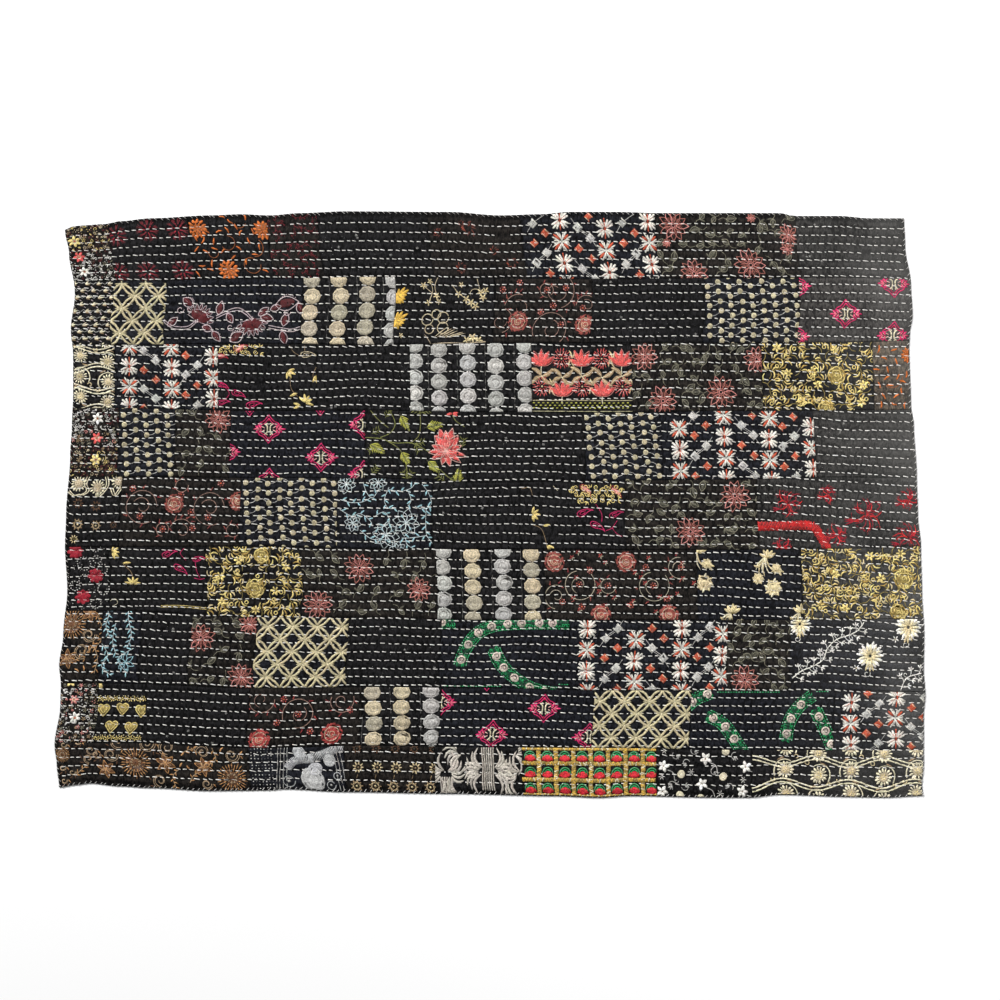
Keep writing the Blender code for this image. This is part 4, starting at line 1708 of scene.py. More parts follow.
def outlined_leaf(work, x, y, turn, length, teeth):
    """A maroon leaf in mauve-white outline; one edge may be scalloped."""
    work.loop(x, y, turn, length, 0.58 * length, 2.1, MAUVE_WHITE, MAROON, high=0.85)
    work.line(turned(x, y, turn, [0, 0.55 * length], [0, 0]), 1.4, MAUVE_WHITE)
    for number in range(teeth):
        share = 0.15 + 0.8 * number / teeth
        place = turned(x, y, turn, [share * length], [-0.36 * length * math.sin(3 * share)])[0]
        spot(work, *place, 1.5, MAUVE_WHITE)


def outlined_vine(work):
    """A double-corded vine with two fringed flowers, leaves and curls."""
    stems = (((-3, 68), (13, 80), (27, 84), (45, 83), (57, 74)),
             ((93, 66), (107, 59), (120, 54), (132, 53), (146, 60), (155, 68)),
             ((188, 83), (211, 87), (230, 89), (249, 83)))
    for points in stems:
        for lift in (-2.2, 2.2):
            work.line([(x, y + lift) for x, y in points], 2.1, MAUVE_WHITE, high=0.8)
    fringed_flower(work, 59, 72, -62)
    fringed_flower(work, 157, 70, 82)
    each(work, outlined_leaf, (
        (30, 32, 38, 26, 7), (96, 62, -80, 24, 0), (112, 60, 55, 20, 0), (8, 80, -42, 22, 0),
        (70, 82, 20, 20, 0), (88, 90, 55, 22, 4), (118, 108, -30, 30, 8), (168, 64, -40, 22, 0),
        (172, 66, 10, 24, 0), (188, 54, -20, 20, 0), (196, 46, -8, 42, 9), (236, 42, 60, 24, 0),
        (214, 82, -78, 24, 0), (212, 90, 78, 24, 0)))
    for x, y in ((27, 52), (120, 84), (218, 58)):
        work.arc(x, y, 0, 330, 7, 1.9, MAUVE_WHITE, last=2.6)


def gold_sprays(work):
    """Ragged saffron flowers at one side, tufts on thin stems, a ring of loops and a feather."""
    for y in (33, 73):
        for turn, length in ((-80, 15), (-56, 21), (-34, 23), (-10, 16), (16, 15), (42, 15),
                             (68, 14), (95, 12)):
            work.leaf(4, y, turn, length, 7, SAFFRON, high=0.8)
        work.pad(3, y + 2, 10, SAFFRON, TABLET, sides=9, high=0.7)
        work.leaf(4, y, 15, 8, 2.8, DARK, high=1.3)
    for stem in (((50, 14), (62, 24), (73, 31)), ((62, 7), (66, 22), (59, 42)),
                 ((78, -2), (70, 16), (77, 41)), ((101, 12), (110, 24), (126, 37)),
                 ((147, 2), (149, 14), (152, 25)), ((66, 112), (62, 104), (56, 96))):
        work.line(stem, 1.6, BEIGE)
    work.arc(142, 28, -190, 210, 9, 1.5, BEIGE)
    for x, y, reach in ((14, 97, 5), (50, 14, 7), (73, 31, 7), (59, 42, 7), (77, 41, 6), (62, 7, 6),
                        (118, 12, 6), (112, 28, 7), (126, 37, 8), (135, 43, 8), (143, 49, 8),
                        (152, 25, 8), (161, 22, 7), (156, 34, 8), (131, 107, 8), (142, 103, 9),
                        (153, 107, 8)):
        work.rays(x, y, 5, 0, reach, 0.55 * reach, SAND, first=15, high=0.75)
        spot(work, x, y, 0.24 * reach, OCHRE, sides=5, high=1.1)
    for x, y, reach in ((59, 71, 10), (64, 87, 8), (74, 62, 8), (87, 68, 10), (88, 85, 10)):
        work.arc(x, y, 0, 340, reach, 2.4, BEIGE, last=0.92 * reach, high=0.8)
    for number in range(6):
        start = turned(74, 106, -27, [4.5 * number], [2.4 * number - 5])[0]
        work.leaf(*start, -34 + 4 * number, 34, 2.6, BEIGE, high=0.7)
    work.line([(58, 113), (95, 111), (128, 112), (164, 110)], 3, BEIGE)


# ---------------------------------------------------------------- motifs: bottom strip
def silver_work(work):
    """A grid of white knots, then silver forms between striped uprights."""
    for row in range(13):
        for number in range(8):
            x, y = -1 + 5.8 * number, 2 + 5.9 * row
            colour = WHITE if work.chance.random() < 0.55 else DIM_GREY
            spot(work, x + work.stray(0.4), y + work.stray(0.4), 1.5, colour)
    for x, lean in ((48, -4), (53, -4), (59, -4), (65, -3), (150, 6), (156, 6), (162, 6)):
        work.line([(x - lean, -2), (x, 38), (x + lean, 78)], 1.6, GREY, step=7)
    forms = (((66, 38), (76, 26), (95, 22), (112, 24)), ((104, 20), (128, 14), (148, 6), (170, 0)))
    for points in forms:
        satin_band(work, points, 2.6, 17, 84, 3.2, SILVER)
    for x, y, reach, squash in ((88, 10, 15, 0.7), (139, 24, 11, 1), (109, 58, 24, 0.85),
                                (113, 40, 12, 1.2)):
        work.pad(x, y, reach, SILVER, COIL, sides=14, turn=60, squash=squash, high=0.9)
    for x, y, reach in ((67, 62, 11), (140, 66, 8), (152, 50, 7)):
        work.arc(x, y, 0, 330, reach, 2.2, SILVER, last=0.8 * reach)
        spot(work, x, y, 0.4 * reach, GREY)


def blossom_rows(work):
    """Staggered rows of small gold-brown heads, the top row faint."""
    for number in range(5):
        small_blossoms(work, ((23 + 33 * number, 5, 9, DARK_COPPER, DARK_OLIVE),
                              (23 + 33 * number, 36, 10.5, SAND, TAN),
                              (19 + 32 * number, 67, 11.5, TAN, SAND)))
        work.line([(22 + 32 * number, 48), (20 + 32 * number, 54)], 1.5, TAN)


def frond(work, x, y, side, rise):
    """A plume of long strokes that rise together, then arch over and down to one side."""
    for number in range(6):
        turn = -90 * rise + (8 + 20 * number) * side * rise
        start = away(x, y, turn, 3 + 1.2 * number)
        work.leaf(*start, turn, 36 - 2.4 * number, 5.8, PEARL, bend=0.3 * side * rise, high=0.75)


def acanthus(work):
    """Pale columns with curling leaves to either side, above and below."""
    for x, top, foot in ((92, -2, 70), (19, 50, 79)):
        for number in range(6):
            work.line([(x - 10 + 4 * number, top), (x - 9 + 3.6 * number, (top + foot) / 2),
                       (x - 10 + 4 * number, foot)], 3.8, PEARL, high=0.8, step=6)
    each(work, frond, (
        (18, 44, -1, 1), (20, 44, 1, 1), (84, 38, -1, 1), (100, 38, 1, 1), (82, 40, -1, -1),
        (102, 40, 1, -1), (150, 44, -1, 1), (48, 8, -1, -1), (136, 8, 1, -1), (146, 84, -1, 1),
        (2, 84, 1, 1), (42, 84, -1, 1)))


def gold_band(work, points, width):
    """A band of short gold stitches in changing shades, aslant to its course."""
    work.line(points, width, OCHRE, high=0.4)
    for number, place, ahead in headings(smoothed(points, 3)):
        turn = ahead + (68 if number % 2 else 112)
        shade = work.one_of((SAFFRON, SAFFRON, SAFFRON, OCHRE, MOSS, CREAM))
        work.stroke(*away(*place, turn, -0.5 * width), turn, width, 3.6, shade, high=1.1)


def strawberries(work):
    """Strawberries in a lattice of gold bands."""
    for number in range(8):
        x = 29 + 30 * number
        gold_band(work, ((x, -2), (x, 40), (x, 80)), 9.4)
    for y in (1, 25, 51, 76):
        gold_band(work, ((-3, y), (116, y), (236, y)), 8.4)
    for row in range(3):
        for number in range(8):
            x, y = 14 + 30 * number, 14 + 25.5 * row
            work.pad(x, y + 3, 9.8, BERRY, TABLET, sides=12, squash=0.6, high=1.2)
            for aside, lean in ((-6, 24), (6, -24), (-3, 12), (3, -12)):
                work.leaf(x + aside, y - 0.5, 90 + lean, 8.5, 3.6, RED, high=1.5)
            for reach, shade in ((9, LEAF_GREEN), (5.6, EMERALD)):
                work.arc(x, y + 1, 172, 196, reach, 2.8, shade, high=1.5)


def white_flowers(work):
    """Small white five-petalled flowers, stars, buttons and stems."""
    for x, y, turn in ((12, 28, 0), (85, 15, 20), (154, 28, 40), (10, 69, 10), (80, 55, 30),
                       (149, 67, 0)):
        work.rays(x, y, 5, 0, 11, 7.5, WHITE, first=turn, high=0.75)
        spot(work, x, y, 2, TAN, high=1)
        work.line(turned(x, y, 40, [9, 20, 30], [0, -3, 4]), 2, GREY)
        work.arc(*turned(x, y, 40, [33], [3])[0], 0, 280, 4, 1.8, GREY, last=1.8)
    for x, y in ((14, 3), (10, 45), (151, 48), (60, 36), (110, 70)):
        work.rays(x, y, 6, 0, 6.5, 1.8, WHITE)
    for x, y in ((43, 40), (116, 43), (120, 3), (76, 78), (40, 74)):
        work.pad(x, y, 7, CREAM, COIL, sides=10, high=0.8)
    for x, y, turn in ((34, 10, 20), (52, 22, 140), (100, 34, 60), (128, 60, 200), (50, 60, -30),
                       (136, 10, 80), (66, 2, 30), (28, 58, 120)):
        work.fan(x, y, turn, (-30, 0, 35), 9, 2.6, GREY)
        work.arc(x, y, turn, 200, 6, 1.6, GREY)


def border_curls(work):
    """Pale suns and curling cords above, small gold-brown heads below."""
    for x, y in ((19, 12), (53, 19), (90, 8)):
        sun(work, x, y, 14, TAN)
    for points in (((36, -2), (31, 12), (36, 24), (26, 32)),
                   ((66, -2), (70, 14), (60, 30), (52, 34)),
                   ((78, 20), (84, 32), (90, 26), (96, 14)), ((2, 24), (12, 32), (24, 30))):
        for lift in (-2.2, 2.2):
            work.line([(x + lift, y) for x, y in points], 2.8, CREAM)
    small_blossoms(work, ((21, 45, 10, DARK_COPPER, DARK_OLIVE),
                          (53, 50, 10, DARK_COPPER, DARK_OLIVE),
                          (21, 81, 11, TAN, SAND), (53, 83, 10, TAN, SAND),
                          (-8, 80, 10, DARK_COPPER, TAN), (84, 82, 7, DARK_COPPER, DARK_OLIVE),
                          (16, 106, 8, SAND, MOSS)))


# ---------------------------------------------------------------- running stitches
STITCH_LENGTH = (8.0, 1.5, 4.0, 12.0)     # mean, spread, least, most, in millimetres
STITCH_GAP = (4.2, 1.0, 2.2, 7.5)
STITCH_WIDTH = (2.0, 0.2, 1.5, 2.5)
STITCH_SLOPE = (0.10, 0.09, -0.10, 0.40)   # how far it drops for its length
STITCH_STRAY = 0.22         # how far off its row it may lie
STITCH_HIGH = 0.85
STITCHED_ROWS = range(1, ROW_COUNT - 1)
STITCH_SEED = 5
MISSED = 0.012              # share of the stitches that are left out
TICK = 0.010                # share of the stitches that are only a tick
TICK_LENGTH = 2.6
ROW_START = (3.0, 9.0)      # a row begins this far from the left end, millimetres
ROW_END = 10.0              # and stops this far from the right end
THREAD = tint(250, 246, 240)
BACK_CROWN = 0.00006        # the thread on the back clears the floor by this much
BACK_OVERLAP = 0.8          # how much longer a stitch of the back is than its gap, millimetres
THREAD_SEED = 9
THREAD_TONES = 0.07
THREAD_ROOT_SHADE = 0.62          # painted shade: the share of its colour that a stitch keeps at its root


def about(chance, settings):
    """A chance size from (mean, spread, least, most)."""
    mean, spread, least, most = settings
    return min(max(chance.gauss(mean, spread), least), most)


def stitch_row(chance, row):
    """The stitches of one row: (row, middle, length, offset down, slope, width), millimetres."""
    stitches = []
    place = chance.uniform(*ROW_START)
    while place < CUT_LENGTH / MM - ROW_END:
        length = about(chance, STITCH_LENGTH)
        if chance.random() < TICK:
            length = TICK_LENGTH
        gap = about(chance, STITCH_GAP)
        if chance.random() > MISSED:
            offset = chance.gauss(0.0, STITCH_STRAY)
            slope = about(chance, STITCH_SLOPE)
            width = about(chance, STITCH_WIDTH)
            stitches.append((row, place + length / 2.0, length, offset, slope, width))
        place += length + gap
    return stitches


def all_stitches():
    """The stitches of every row, as one array."""
    chance = random.Random(STITCH_SEED)
    stitches = []
    for row in STITCHED_ROWS:
        stitches += stitch_row(chance, row)
    return np.array(stitches)


def between(stitches):
    """The stitches of the back, where the thread runs on from each stitch to the next."""
    behind, ahead = stitches[:-1], stitches[1:]
    paired = behind[:, 0] == ahead[:, 0]
    row, middle, length, offset, slope, width = behind[paired].T
    _, next_middle, next_length, next_offset, next_slope, _ = ahead[paired].T
    start, end = middle + 0.5 * length, next_middle - 0.5 * next_length
    drop = offset + 0.5 * length * slope
    rise = next_offset - 0.5 * next_length * next_slope
    return np.stack((row, 0.5 * (start + end), end - start + BACK_OVERLAP, 0.5 * (drop + rise),
                     (rise - drop) / (end - start), width), 1)


def on_rows(stitches, shares, sides):
    """Where points of each stitch lie, by their shares of its length and of its width."""
    row, middle, length, offset, slope, width = stitches.T[:, :, None]
    along = (middle + shares * length) * MM
    line = row_down(along.ravel(), (row + 0.5 + 0.0 * along).ravel()).reshape(along.shape)
    down = line + (offset + shares * length * slope + sides * width) * MM
    return along.ravel(), down.ravel(), (shares * length).ravel()


def thread_piece(name, points, crowns, places, faces):
    """Many strands of the quilting thread as one piece; roots are painted darker than crowns as
    painted shade.
    """
    count = len(points) // len(crowns)
    tone = np.random.default_rng(THREAD_SEED).normal(1.0, THREAD_TONES, count)[:, None]
    # painted shade at the root of every stitch
    tone = (tone * np.where(crowns > 0.0, 1.0, THREAD_ROOT_SHADE)).reshape(-1, 1)
    faces = faces[None] + len(crowns) * np.arange(count)[:, None, None]
    data = mesh_of(name, points.tolist(), faces.reshape(-1, 3).tolist())
    piece = new_piece(data, STITCH_MATERIAL)
    paint(piece.data, tone * np.array(THREAD), places)
    return piece


def face_stitches(name, stitches):
    """The running stitches of one strip on the quilt's face."""
    shares = np.array((-0.5, 0.5, -0.42, -0.42, -0.42, 0.42, 0.42, 0.42))
    sides = np.array((0.0, 0.0, -0.5, 0.0, 0.5, -0.5, 0.0, 0.5))
    crowns = np.array((0.0, 0.0, 0.0, 1.0, 0.0, 0.0, 1.0, 0.0))
    along, down, places = on_rows(stitches, shares, sides)
    lift = np.tile(np.where(crowns > 0.0, STITCH_HIGH, -0.25) * MM, len(stitches))
    x, y = laid(along, down)
    points = np.stack((x, y, top_height(along, down) + lift), 1)
    return thread_piece(name, points, crowns, places, strand_faces(2, 3))


def back_stitches(name, stitches):
    """The same thread where it shows on the back, in the dimples it draws up."""
    shares, sides = np.array((-0.5, 0.5, 0.0, 0.0, 0.0)), np.array((0.0, 0.0, -0.5, 0.0, 0.5))
    crowns = np.array((0.0, 0.0, 0.0, 1.0, 0.0))
    along, down, places = on_rows(stitches, shares, sides)
    x, y = laid(along, down)
    height = np.tile(np.where(crowns > 0.0, BACK_CROWN, 1.1 * BACK_DIMPLE), len(stitches))
    points = np.stack((x, y, height), 1)
    return thread_piece(name, points, crowns, places, strand_faces(1, 3)[:, ::-1])


# ---------------------------------------------------------------- whipped edge
WHIP_EDGES = (
    # length of the edge, space between stitches, slant for its length, in millimetres
    (CUT_LENGTH / MM, 10.4, 1.25),
    (CUT_WIDTH / MM, 10.6, 1.0),
    (CUT_LENGTH / MM, 9.4, -0.95),
    (CUT_WIDTH / MM, 10.6, -1.0),
)
WHIP_SEED = 20
WHIP_WIDTH = 1.35
WHIP_STRAY = 0.9            # spreads of its place, its reach and its slant
WHIP_REACH_STRAY = 0.10
WHIP_SLANT_STRAY = 0.12
WHIP_TIPS = ((0.55, -1.45), (4.8, -0.2))
WHIP_COURSE = (
    # how far in from the edge and how far over the face: its sides, then its crown
    (0.25, -1.10, -0.55, -1.05),
    (0.50, -0.40, -0.15, 0.25),
    (1.60, -0.30, 1.40, 0.50),
    (3.40, -0.25, 3.40, 0.50),
)


def from_edge(number, course, inset):
    """Places on the cloth by their course along an edge, clockwise round it, and inset."""
    if number == 0:
        return course, inset
    if number == 1:
        return CUT_LENGTH - inset, course
    if number == 2:
        return CUT_LENGTH - course, CUT_WIDTH - inset
    return inset, CUT_WIDTH - course


def whip_stitches(number, length, pitch, slant):
    """Slanting threads that wrap one edge of the quilt, from its back over its rim."""
    chance = np.random.default_rng(WHIP_SEED + number)
    count = round(length / pitch)
    start = ((np.arange(count) + 0.4) * length / count)[:, None]
    start = start + chance.normal(0.0, WHIP_STRAY, (count, 1))
    course = [(inset, lift, 0.0, 0.0) for inset, lift in WHIP_TIPS]
    for side_in, side_lift, crown_in, crown_lift in WHIP_COURSE:
        course += [(side_in, side_lift, 0.5, 0.0), (crown_in, crown_lift, 0.0, 1.0),
                   (side_in, side_lift, -0.5, 0.0)]
    inset, lift, aside, crowns = np.array(course).T
    reach = chance.normal(1.0, WHIP_REACH_STRAY, (count, 1))
    inset = np.where(inset > 1.0, inset * reach, inset)
    slant = chance.normal(slant, WHIP_SLANT_STRAY, (count, 1))
    places = (start + slant * inset + aside * WHIP_WIDTH).ravel() * MM
    along, down = from_edge(number, places, inset.ravel() * MM)
    x, y = laid(along, down)
    height = top_height(along, down) + np.tile(lift, count) * MM
    return thread_piece(f"whipped_edge_{number + 1}", np.stack((x, y, height), 1), crowns,
                        inset.ravel(), strand_faces(len(WHIP_COURSE), 3))


# ---------------------------------------------------------------- the strips of patches
STRIPS = (
    # a row for each patch: its right end in millimetres along, its cloth, the function that draws
    # its embroidery, and what that function is given after the work
    ((77, "brown_black", meadow,
      ((13, 32, 12, GOLD), (18, 64, 11, CORAL), (23, 94, 11, WHITE)),
      ((0.5, YELLOW_BAND), (1.1, WHITE_BAND))),
     (220, "black", maroon_blossoms,
      ((11, 27, 1), (68, 22, 0), (122, 22, 0), (5, 98, 1), (59, 97, 1), (122, 97, 0))),
     (360, "black", marigolds, ((14, 23, 19), (131, 27, 19), (61, 97, 20)),
      ((30, 28, 30), (52, 31, -10), (66, 27, 60), (75, 11, 40), (20, 42, 120), (9, 59, 130),
       (25, 64, 30), (41, 59, 20), (55, 63, 140), (91, 34, 120), (104, 46, 60), (111, 30, 80),
       (15, 87, 0), (34, 84, 100), (4, 103, 60), (95, 83, 100), (126, 100, 30), (113, 71, 10),
       (100, 5, 80), (61, 5, 20), (84, 22, 70), (40, 46, 100), (72, 74, 150), (8, 40, 70),
       (84, 60, 40), (122, 56, 80), (28, 96, 20)),
      ((65, 51, 14, -90, 240), (104, 88, 16, 0, 300), (112, 60, 18, -60, 150),
       (38, 66, 10, 0, 200), (88, 12, 14, 20, 140))),
     (450, "brown_black", faint_sprigs),
     (647, "black", plain),
     (814, "brown_black", worn_blooms,
      ((16, 36, 11), (72, 28, 17), (115, 63, 11), (51, 95, 13), (144, 86, 13), (60, 20, 8))),
     (1054, "blue_black", stars, ((70, 13, CROSSED), (149, 28, CROSSED), (227, 15, CROSSED)),
      ((31, 16, -1, 0), (111, 9, 1, 2), (191, 18, -1, 0))),
     (1305, "brown_black", daisies,
      ((32, 22, 27), (163, 90, 29), (59, 104, 26), (238, 37, 20), (233, 62, 12), (18, 51, 8),
       (172, 9, 8))),
     (1500, "charcoal", plain)),
    ((70, "black", crescents),
     (165, "blue_black", lattice, 38, 27),
     (410, "blue_black", outlined_vine),
     (576, "black", coins, ((16, 4, STONE), (66, 4, BEIGE), (116, 1, BEIGE), (163, 6, GREY))),
     (754, "black", gold_sprays),
     (928, "brown_black", scroll_roses, ((43, 75, 19), (163, 80, 19)),
      ((93, 20, 13, 90, 320), (102, 89, 32, -200, 250), (108, 22, 36, -60, 130),
       (10, 75, 24, -70, 140), (45, 52, 28, -170, 90), (165, 46, 20, 180, 120)),
      ((93, 20), (127, 16), (82, 58), (104, 47), (45, 8), (14, 20), (120, 80), (157, 51))),
     (1129, "black", plain),
     (1299, "blue_black", dots, 5, 14),
     (1500, "pale_charcoal", each, medallion,
      ((82, 63), (-7, 16), (170, 9), (170, 102), (-7, 102)))),
    ((75, "black", sun_waves, 13, 20, 49, 37, 13.5),
     (260, "blue_black", stars, ((27, 3, LEAFY), (102, 6, LEAFY), (177, 23, CROSSED)),
      ((63, 11, -1, 3), (138, 20, -1, 2))),
     (437, "black", paisley_band, ((0, 1, 82, 19),),
      ((39, 8, -30, 26, CRIMSON, PINK), (4, 21, 0, 22, CRIMSON, PINK),
       (7, 71, 10, 20, MAGENTA), (34, 85, 10, 25, MAGENTA),
       (7, 101, -20, 22, MAGENTA), (61, 104, -20, 27, MAGENTA),
       (159, 18, -10, 26, BEIGE)),
      ((TAN, ((129, 3), (136, 14), (148, 21))), (TAN, ((129, 59), (131, 77), (142, 90))),
       (TAN, ((156, 3), (156, 12))), (MAGENTA, ((12, 74), (20, 86), (10, 98))),
       (TAN, ((176, 40), (170, 54), (176, 66)))),
      ((125, 47, 40, 4), (176, 54, 80, 3), (128, 90, -20, 1), (156, 101, -60, 5),
       (148, 106, 180, 2))),
     (604, "black", plain),
     (822, "black", coins,
      ((9, 2, GREY), (52, 10, GREY), (104, 6, GREY), (154, 11, GREY), (206, 4, GREY))),
     (1002, "black", garden),
     (1235, "brown_black", daisies, ((54, 97, 27), (158, 83, 28), (23, 23, 24), (224, 28, 24))),
     (1434, "black", gold_roses, ((133, 56, 19), (112, 112, 17)),
      ((90, 49), (131, 12), (47, 52), (99, 72), (181, 73), (27, 8), (176, 102), (70, 100)), 18.5),
     (1500, "faded_brown", marigolds, ((64, 24, 15),),
      ((20, 30, 30), (44, 60, 120), (16, 92, 60), (10, 12, 100), (42, 34, 70), (24, 62, 150),
       (50, 84, 80), (36, 104, 20), (58, 56, 100), (8, 74, 80), (6, 46, 0), (38, 14, 170),
       (30, 74, 10), (12, 106, 90), (56, 108, 95), (52, 68, 20), (26, 48, 80), (40, 92, 150)),
      ((30, 60, 22, 0, 120),))),
    ((84, "brown_black", meadow,
      ((46, 18, 11, WHITE), (46, 52, 11, CORAL), (46, 89, 11, GOLD)),
      ((0.3, WHITE_BAND), (0.55, GREY_BAND), (1.1, YELLOW_BAND))),
     (185, "blue_black", dots, 8, 12),
     (283, "brown_black", daisies, ((76, 16, 25),), 27),
     (523, "blue_black", each, medallion,
      ((68, 32), (162, 82), (-9, 73), (238, 25), (34, -16), (160, -16), (71, 126), (238, 112))),
     (709, "black", coral_rose),
     (914, "black", plain),
     (1050, "blue_black", dots, 4, 9),
     (1322, "blue_black", stars,
      ((32, 30, LEAFY), (112, 8, LEAFY), (192, 13, LEAFY), (266, 30, CROSSED)),
      ((69, 8, -1, 0), (153, 8, 1, 2), (226, 11, 1, 1))),
     (1500, "charcoal", plain)),
    ((95, "black", border_curls),
     (306, "brown_black", scroll_roses, ((95, 46, 18), (208, 41, 18)),
      ((39, 50, 30, 60, 300), (158, 53, 30, 60, 300), (106, 14, 12, 0, 300),
       (76, 89, 12, 90, 300), (199, 91, 12, 40, 300), (110, 92, 22, 200, 130)),
      ((35, 67), (155, 69), (106, 30), (76, 89), (20, 20), (128, 88), (175, 10), (125, 60))),
     (477, "blue_black", dots, 8, 10),
     (644, "blue_black", blue_vine),
     (799, "black", plain),
     (984, "black", paisley_band, ((84, 7, 98, 17), (96, 24, 84, 14)),
      ((111, 55, -30, 27, MAGENTA), (167, 58, -30, 24, MAGENTA),
       (134, 77, 20, 27, MAGENTA), (114, 14, 35, 25, CRIMSON, PINK),
       (168, 17, 35, 25, CRIMSON, PINK)),
      ((MAGENTA, ((134, 41), (144, 57), (144, 71))), (MAGENTA, ((171, 69), (162, 81), (151, 86))),
       (MAGENTA, ((162, 81), (168, 90), (178, 96))), (TAN, ((23, 76), (38, 84), (46, 114))),
       (TAN, ((2, 12), (16, 10), (22, 24))), (CREAM, ((58, 8), (66, 16)))),
      ((22, 58, 0, 5), (40, 78, -10, 1), (46, 112, 40, 2))),
     (1217, "brown_black", daisies, ((114, 88, 27), (194, 28, 27))),
     (1500, "charcoal", spiky_flowers,
      ((190, 62, 38), (55, 42, 30), (125, 28, 20), (266, 38, 24), (262, 105, 32), (138, 96, 24),
       (40, 116, 22)), ((-2, 80), (46, 80), (94, 81), (108, 98), (120, 122)))),
    ((76, "black", red_flowers, ((18, 9, 15), (51, 55, 15), (28, 95, 15)),
      ((54, 0, 9), (32, 32, 12), (32, 62, 10), (56, 24, 7), (64, 42, 9), (64, 80, 10),
       (14, 74, 9), (52, 108, 9))),
     (246, "black", paisleys,
      ((104, 13, -30, 26, MAGENTA), (156, 22, -20, 22, MAGENTA),
       (123, 39, 25, 26, MAGENTA)),
      ((TAN, ((25, 33), (38, 48), (40, 66))), (MAGENTA, ((133, 3), (126, 12), (135, 24))),
       (MAGENTA, ((151, 24), (153, 43), (158, 55))), (GOLD, ((90, 108), (130, 106), (172, 108))),
       (GOLD, ((90, 111), (130, 109), (172, 111))), (MAGENTA, ((148, 56), (158, 58), (166, 56))),
       (CREAM, ((-2, 104), (8, 98), (14, 106), (6, 112)))),
      ((7, 10, 0, 5), (24, 31, -5, 1), (40, 70, -90, 5))),
     (413, "black", gold_roses, ((98, 16, 16), (84, 72, 20)),
      ((119, 76), (86, 109), (24, 52), (58, 24), (26, 96), (140, 34)), 19),
     (650, "brown_black", daisies, ((102, 34, 27), (28, 98, 27), (205, 70, 22)), 28),
     (839, "black", coins, ((11, 4, GREY), (63, 10, BEIGE), (116, 2, GREY), (167, 8, BEIGE))),
     (1106, "brown_black", scroll_roses,
      ((18, 21, 19), (144, 21, 19), (97, 112, 19), (216, 112, 19)),
      ((60, 60, 28, -40, 300), (190, 62, 28, -40, 300), (110, 62, 14, 0, 300),
       (20, 80, 22, 100, 200), (236, 30, 20, 60, 220)),
      ((60, 60), (190, 62), (110, 62), (240, 30), (30, 90), (150, 95), (80, 36), (214, 84),
       (64, 98), (178, 30)), DEEP_CORAL, STONE, 26),
     (1290, "blue_black", each, bouquet, ((125, 9), (4, 0), (60, 104), (180, 104))),
     (1500, "charcoal", gold_roses, ((178, 54, 21), (166, 110, 17)),
      ((138, 52), (174, 12), (30, 96), (58, 44), (74, 102), (120, 14)), 17)),
    ((67, "brown_black", copper_scrolls, ((14, 22, 26),), ((45, 3, 17), (14, 80, 17)),
      ((45, 40, 14, 0, 500), (36, 66, 15, 60, 480)),
      (((56, 6), (68, 30), (64, 54), (48, 64)), ((17, 86), (38, 76), (56, 56)),
       ((56, 60), (66, 80), (60, 104))), ((42, 96, 90), (30, 100, 40))),
     (136, "blue_black", blue_sprigs,
      (((5, -10), (10, 7), (7, 24), (14, 43)), ((43, -10), (45, 12), (52, 38), (47, 60)),
       ((2, 55), (16, 74), (7, 93), (22, 108)), ((58, 62), (35, 80), (50, 104)),
       ((24, 20), (20, 50), (30, 72))), ((48, 86, 16),)),
     (223, "black", plain),
     (336, "brown_black", daisies, ((17, 38, 25), (92, 103, 25), (101, 12, 20)), 26),
     (496, "blue_black", lattice, 20, 16),
     (658, "black", plain),
     (881, "blue_black", green_bands,
      (((37, 81), (40, 62), (50, 40), (68, 20), (96, 9), (128, 6), (170, 5), (222, 5)),
       ((93, 52), (101, 68), (119, 91), (144, 112), (172, 124), (202, 128)),
       ((-10, 5), (8, 5), (24, 4))), ((6, 106, 118), (206, 224, 112))),
     (1157, "blue_black", stars,
      ((33, 15, CROSSED), (116, 34, LEAFY), (196, 14, CROSSED), (268, 24, LEAFY)),
      ((74, 14, 1, 3), (155, 14, -1, 1), (235, 12, 1, 3))),
     (1267, "brown_black", daisies, ((31, 103, 25),), 22),
     (1500, "blue_black", white_sprays,
      (((4, 100), (22, 87), (40, 80), (58, 68), (64, 50), (80, 34), (101, 27), (118, 18),
        (128, 5)), ((190, 118), (202, 98), (228, 90))),
      ((139, 62, 26), (16, 8, 22), (205, 14, 25)))),
    ((66, "brown_black", meadow,
      ((17, -4, 11, GOLD), (24, 28, 9, PINK), (28, 60, 11, WHITE)), ((1.1, GREY_BAND),)),
     (149, "black", hearts, ((10, 45), (43, 43), (76, 46), (28, 74), (62, 76)), (26, 94),
      ((3, 4),)),
     (328, "black", plain),
     (525, "brown_black", scroll_roses, ((24, 89, 20), (148, 81, 20)),
      ((86, 46, 28, -200, 300), (20, 20, 24, 0, 200), (160, 24, 22, -20, 220)),
      ((86, 46), (60, 20), (110, 76), (176, 40), (50, 60)), BRICK),
     (661, "black", coins, ((14, 10, BEIGE), (64, 8, BEIGE), (116, 5, GREY)), 6),
     (926, "blue_black", each, medallion, ((179, 34), (92, 81), (-2, 26), (260, 84), (78, -20))),
     (1094, "blue_black", lattice, 10, 20),
     (1343, "blue_black", green_bands,
      (((31, 44), (56, 57), (78, 84), (96, 112)), ((167, 86), (172, 56), (188, 28), (210, 9)),
       ((218, 34), (232, 62), (252, 106)), ((-6, 28), (10, 14), (34, 4))),
      ((44, 156, 3), (216, 240, 2))),
     (1500, "blue_black", stars, ((30, 21, CROSSED), (108, 10, CROSSED)),
      ((68, 5, -1, 2), (145, 10, 1, 0)))),
    ((334, "brown_black", copper_scrolls, ((137, 34, 27), (303, 55, 27), (12, 21, 14)),
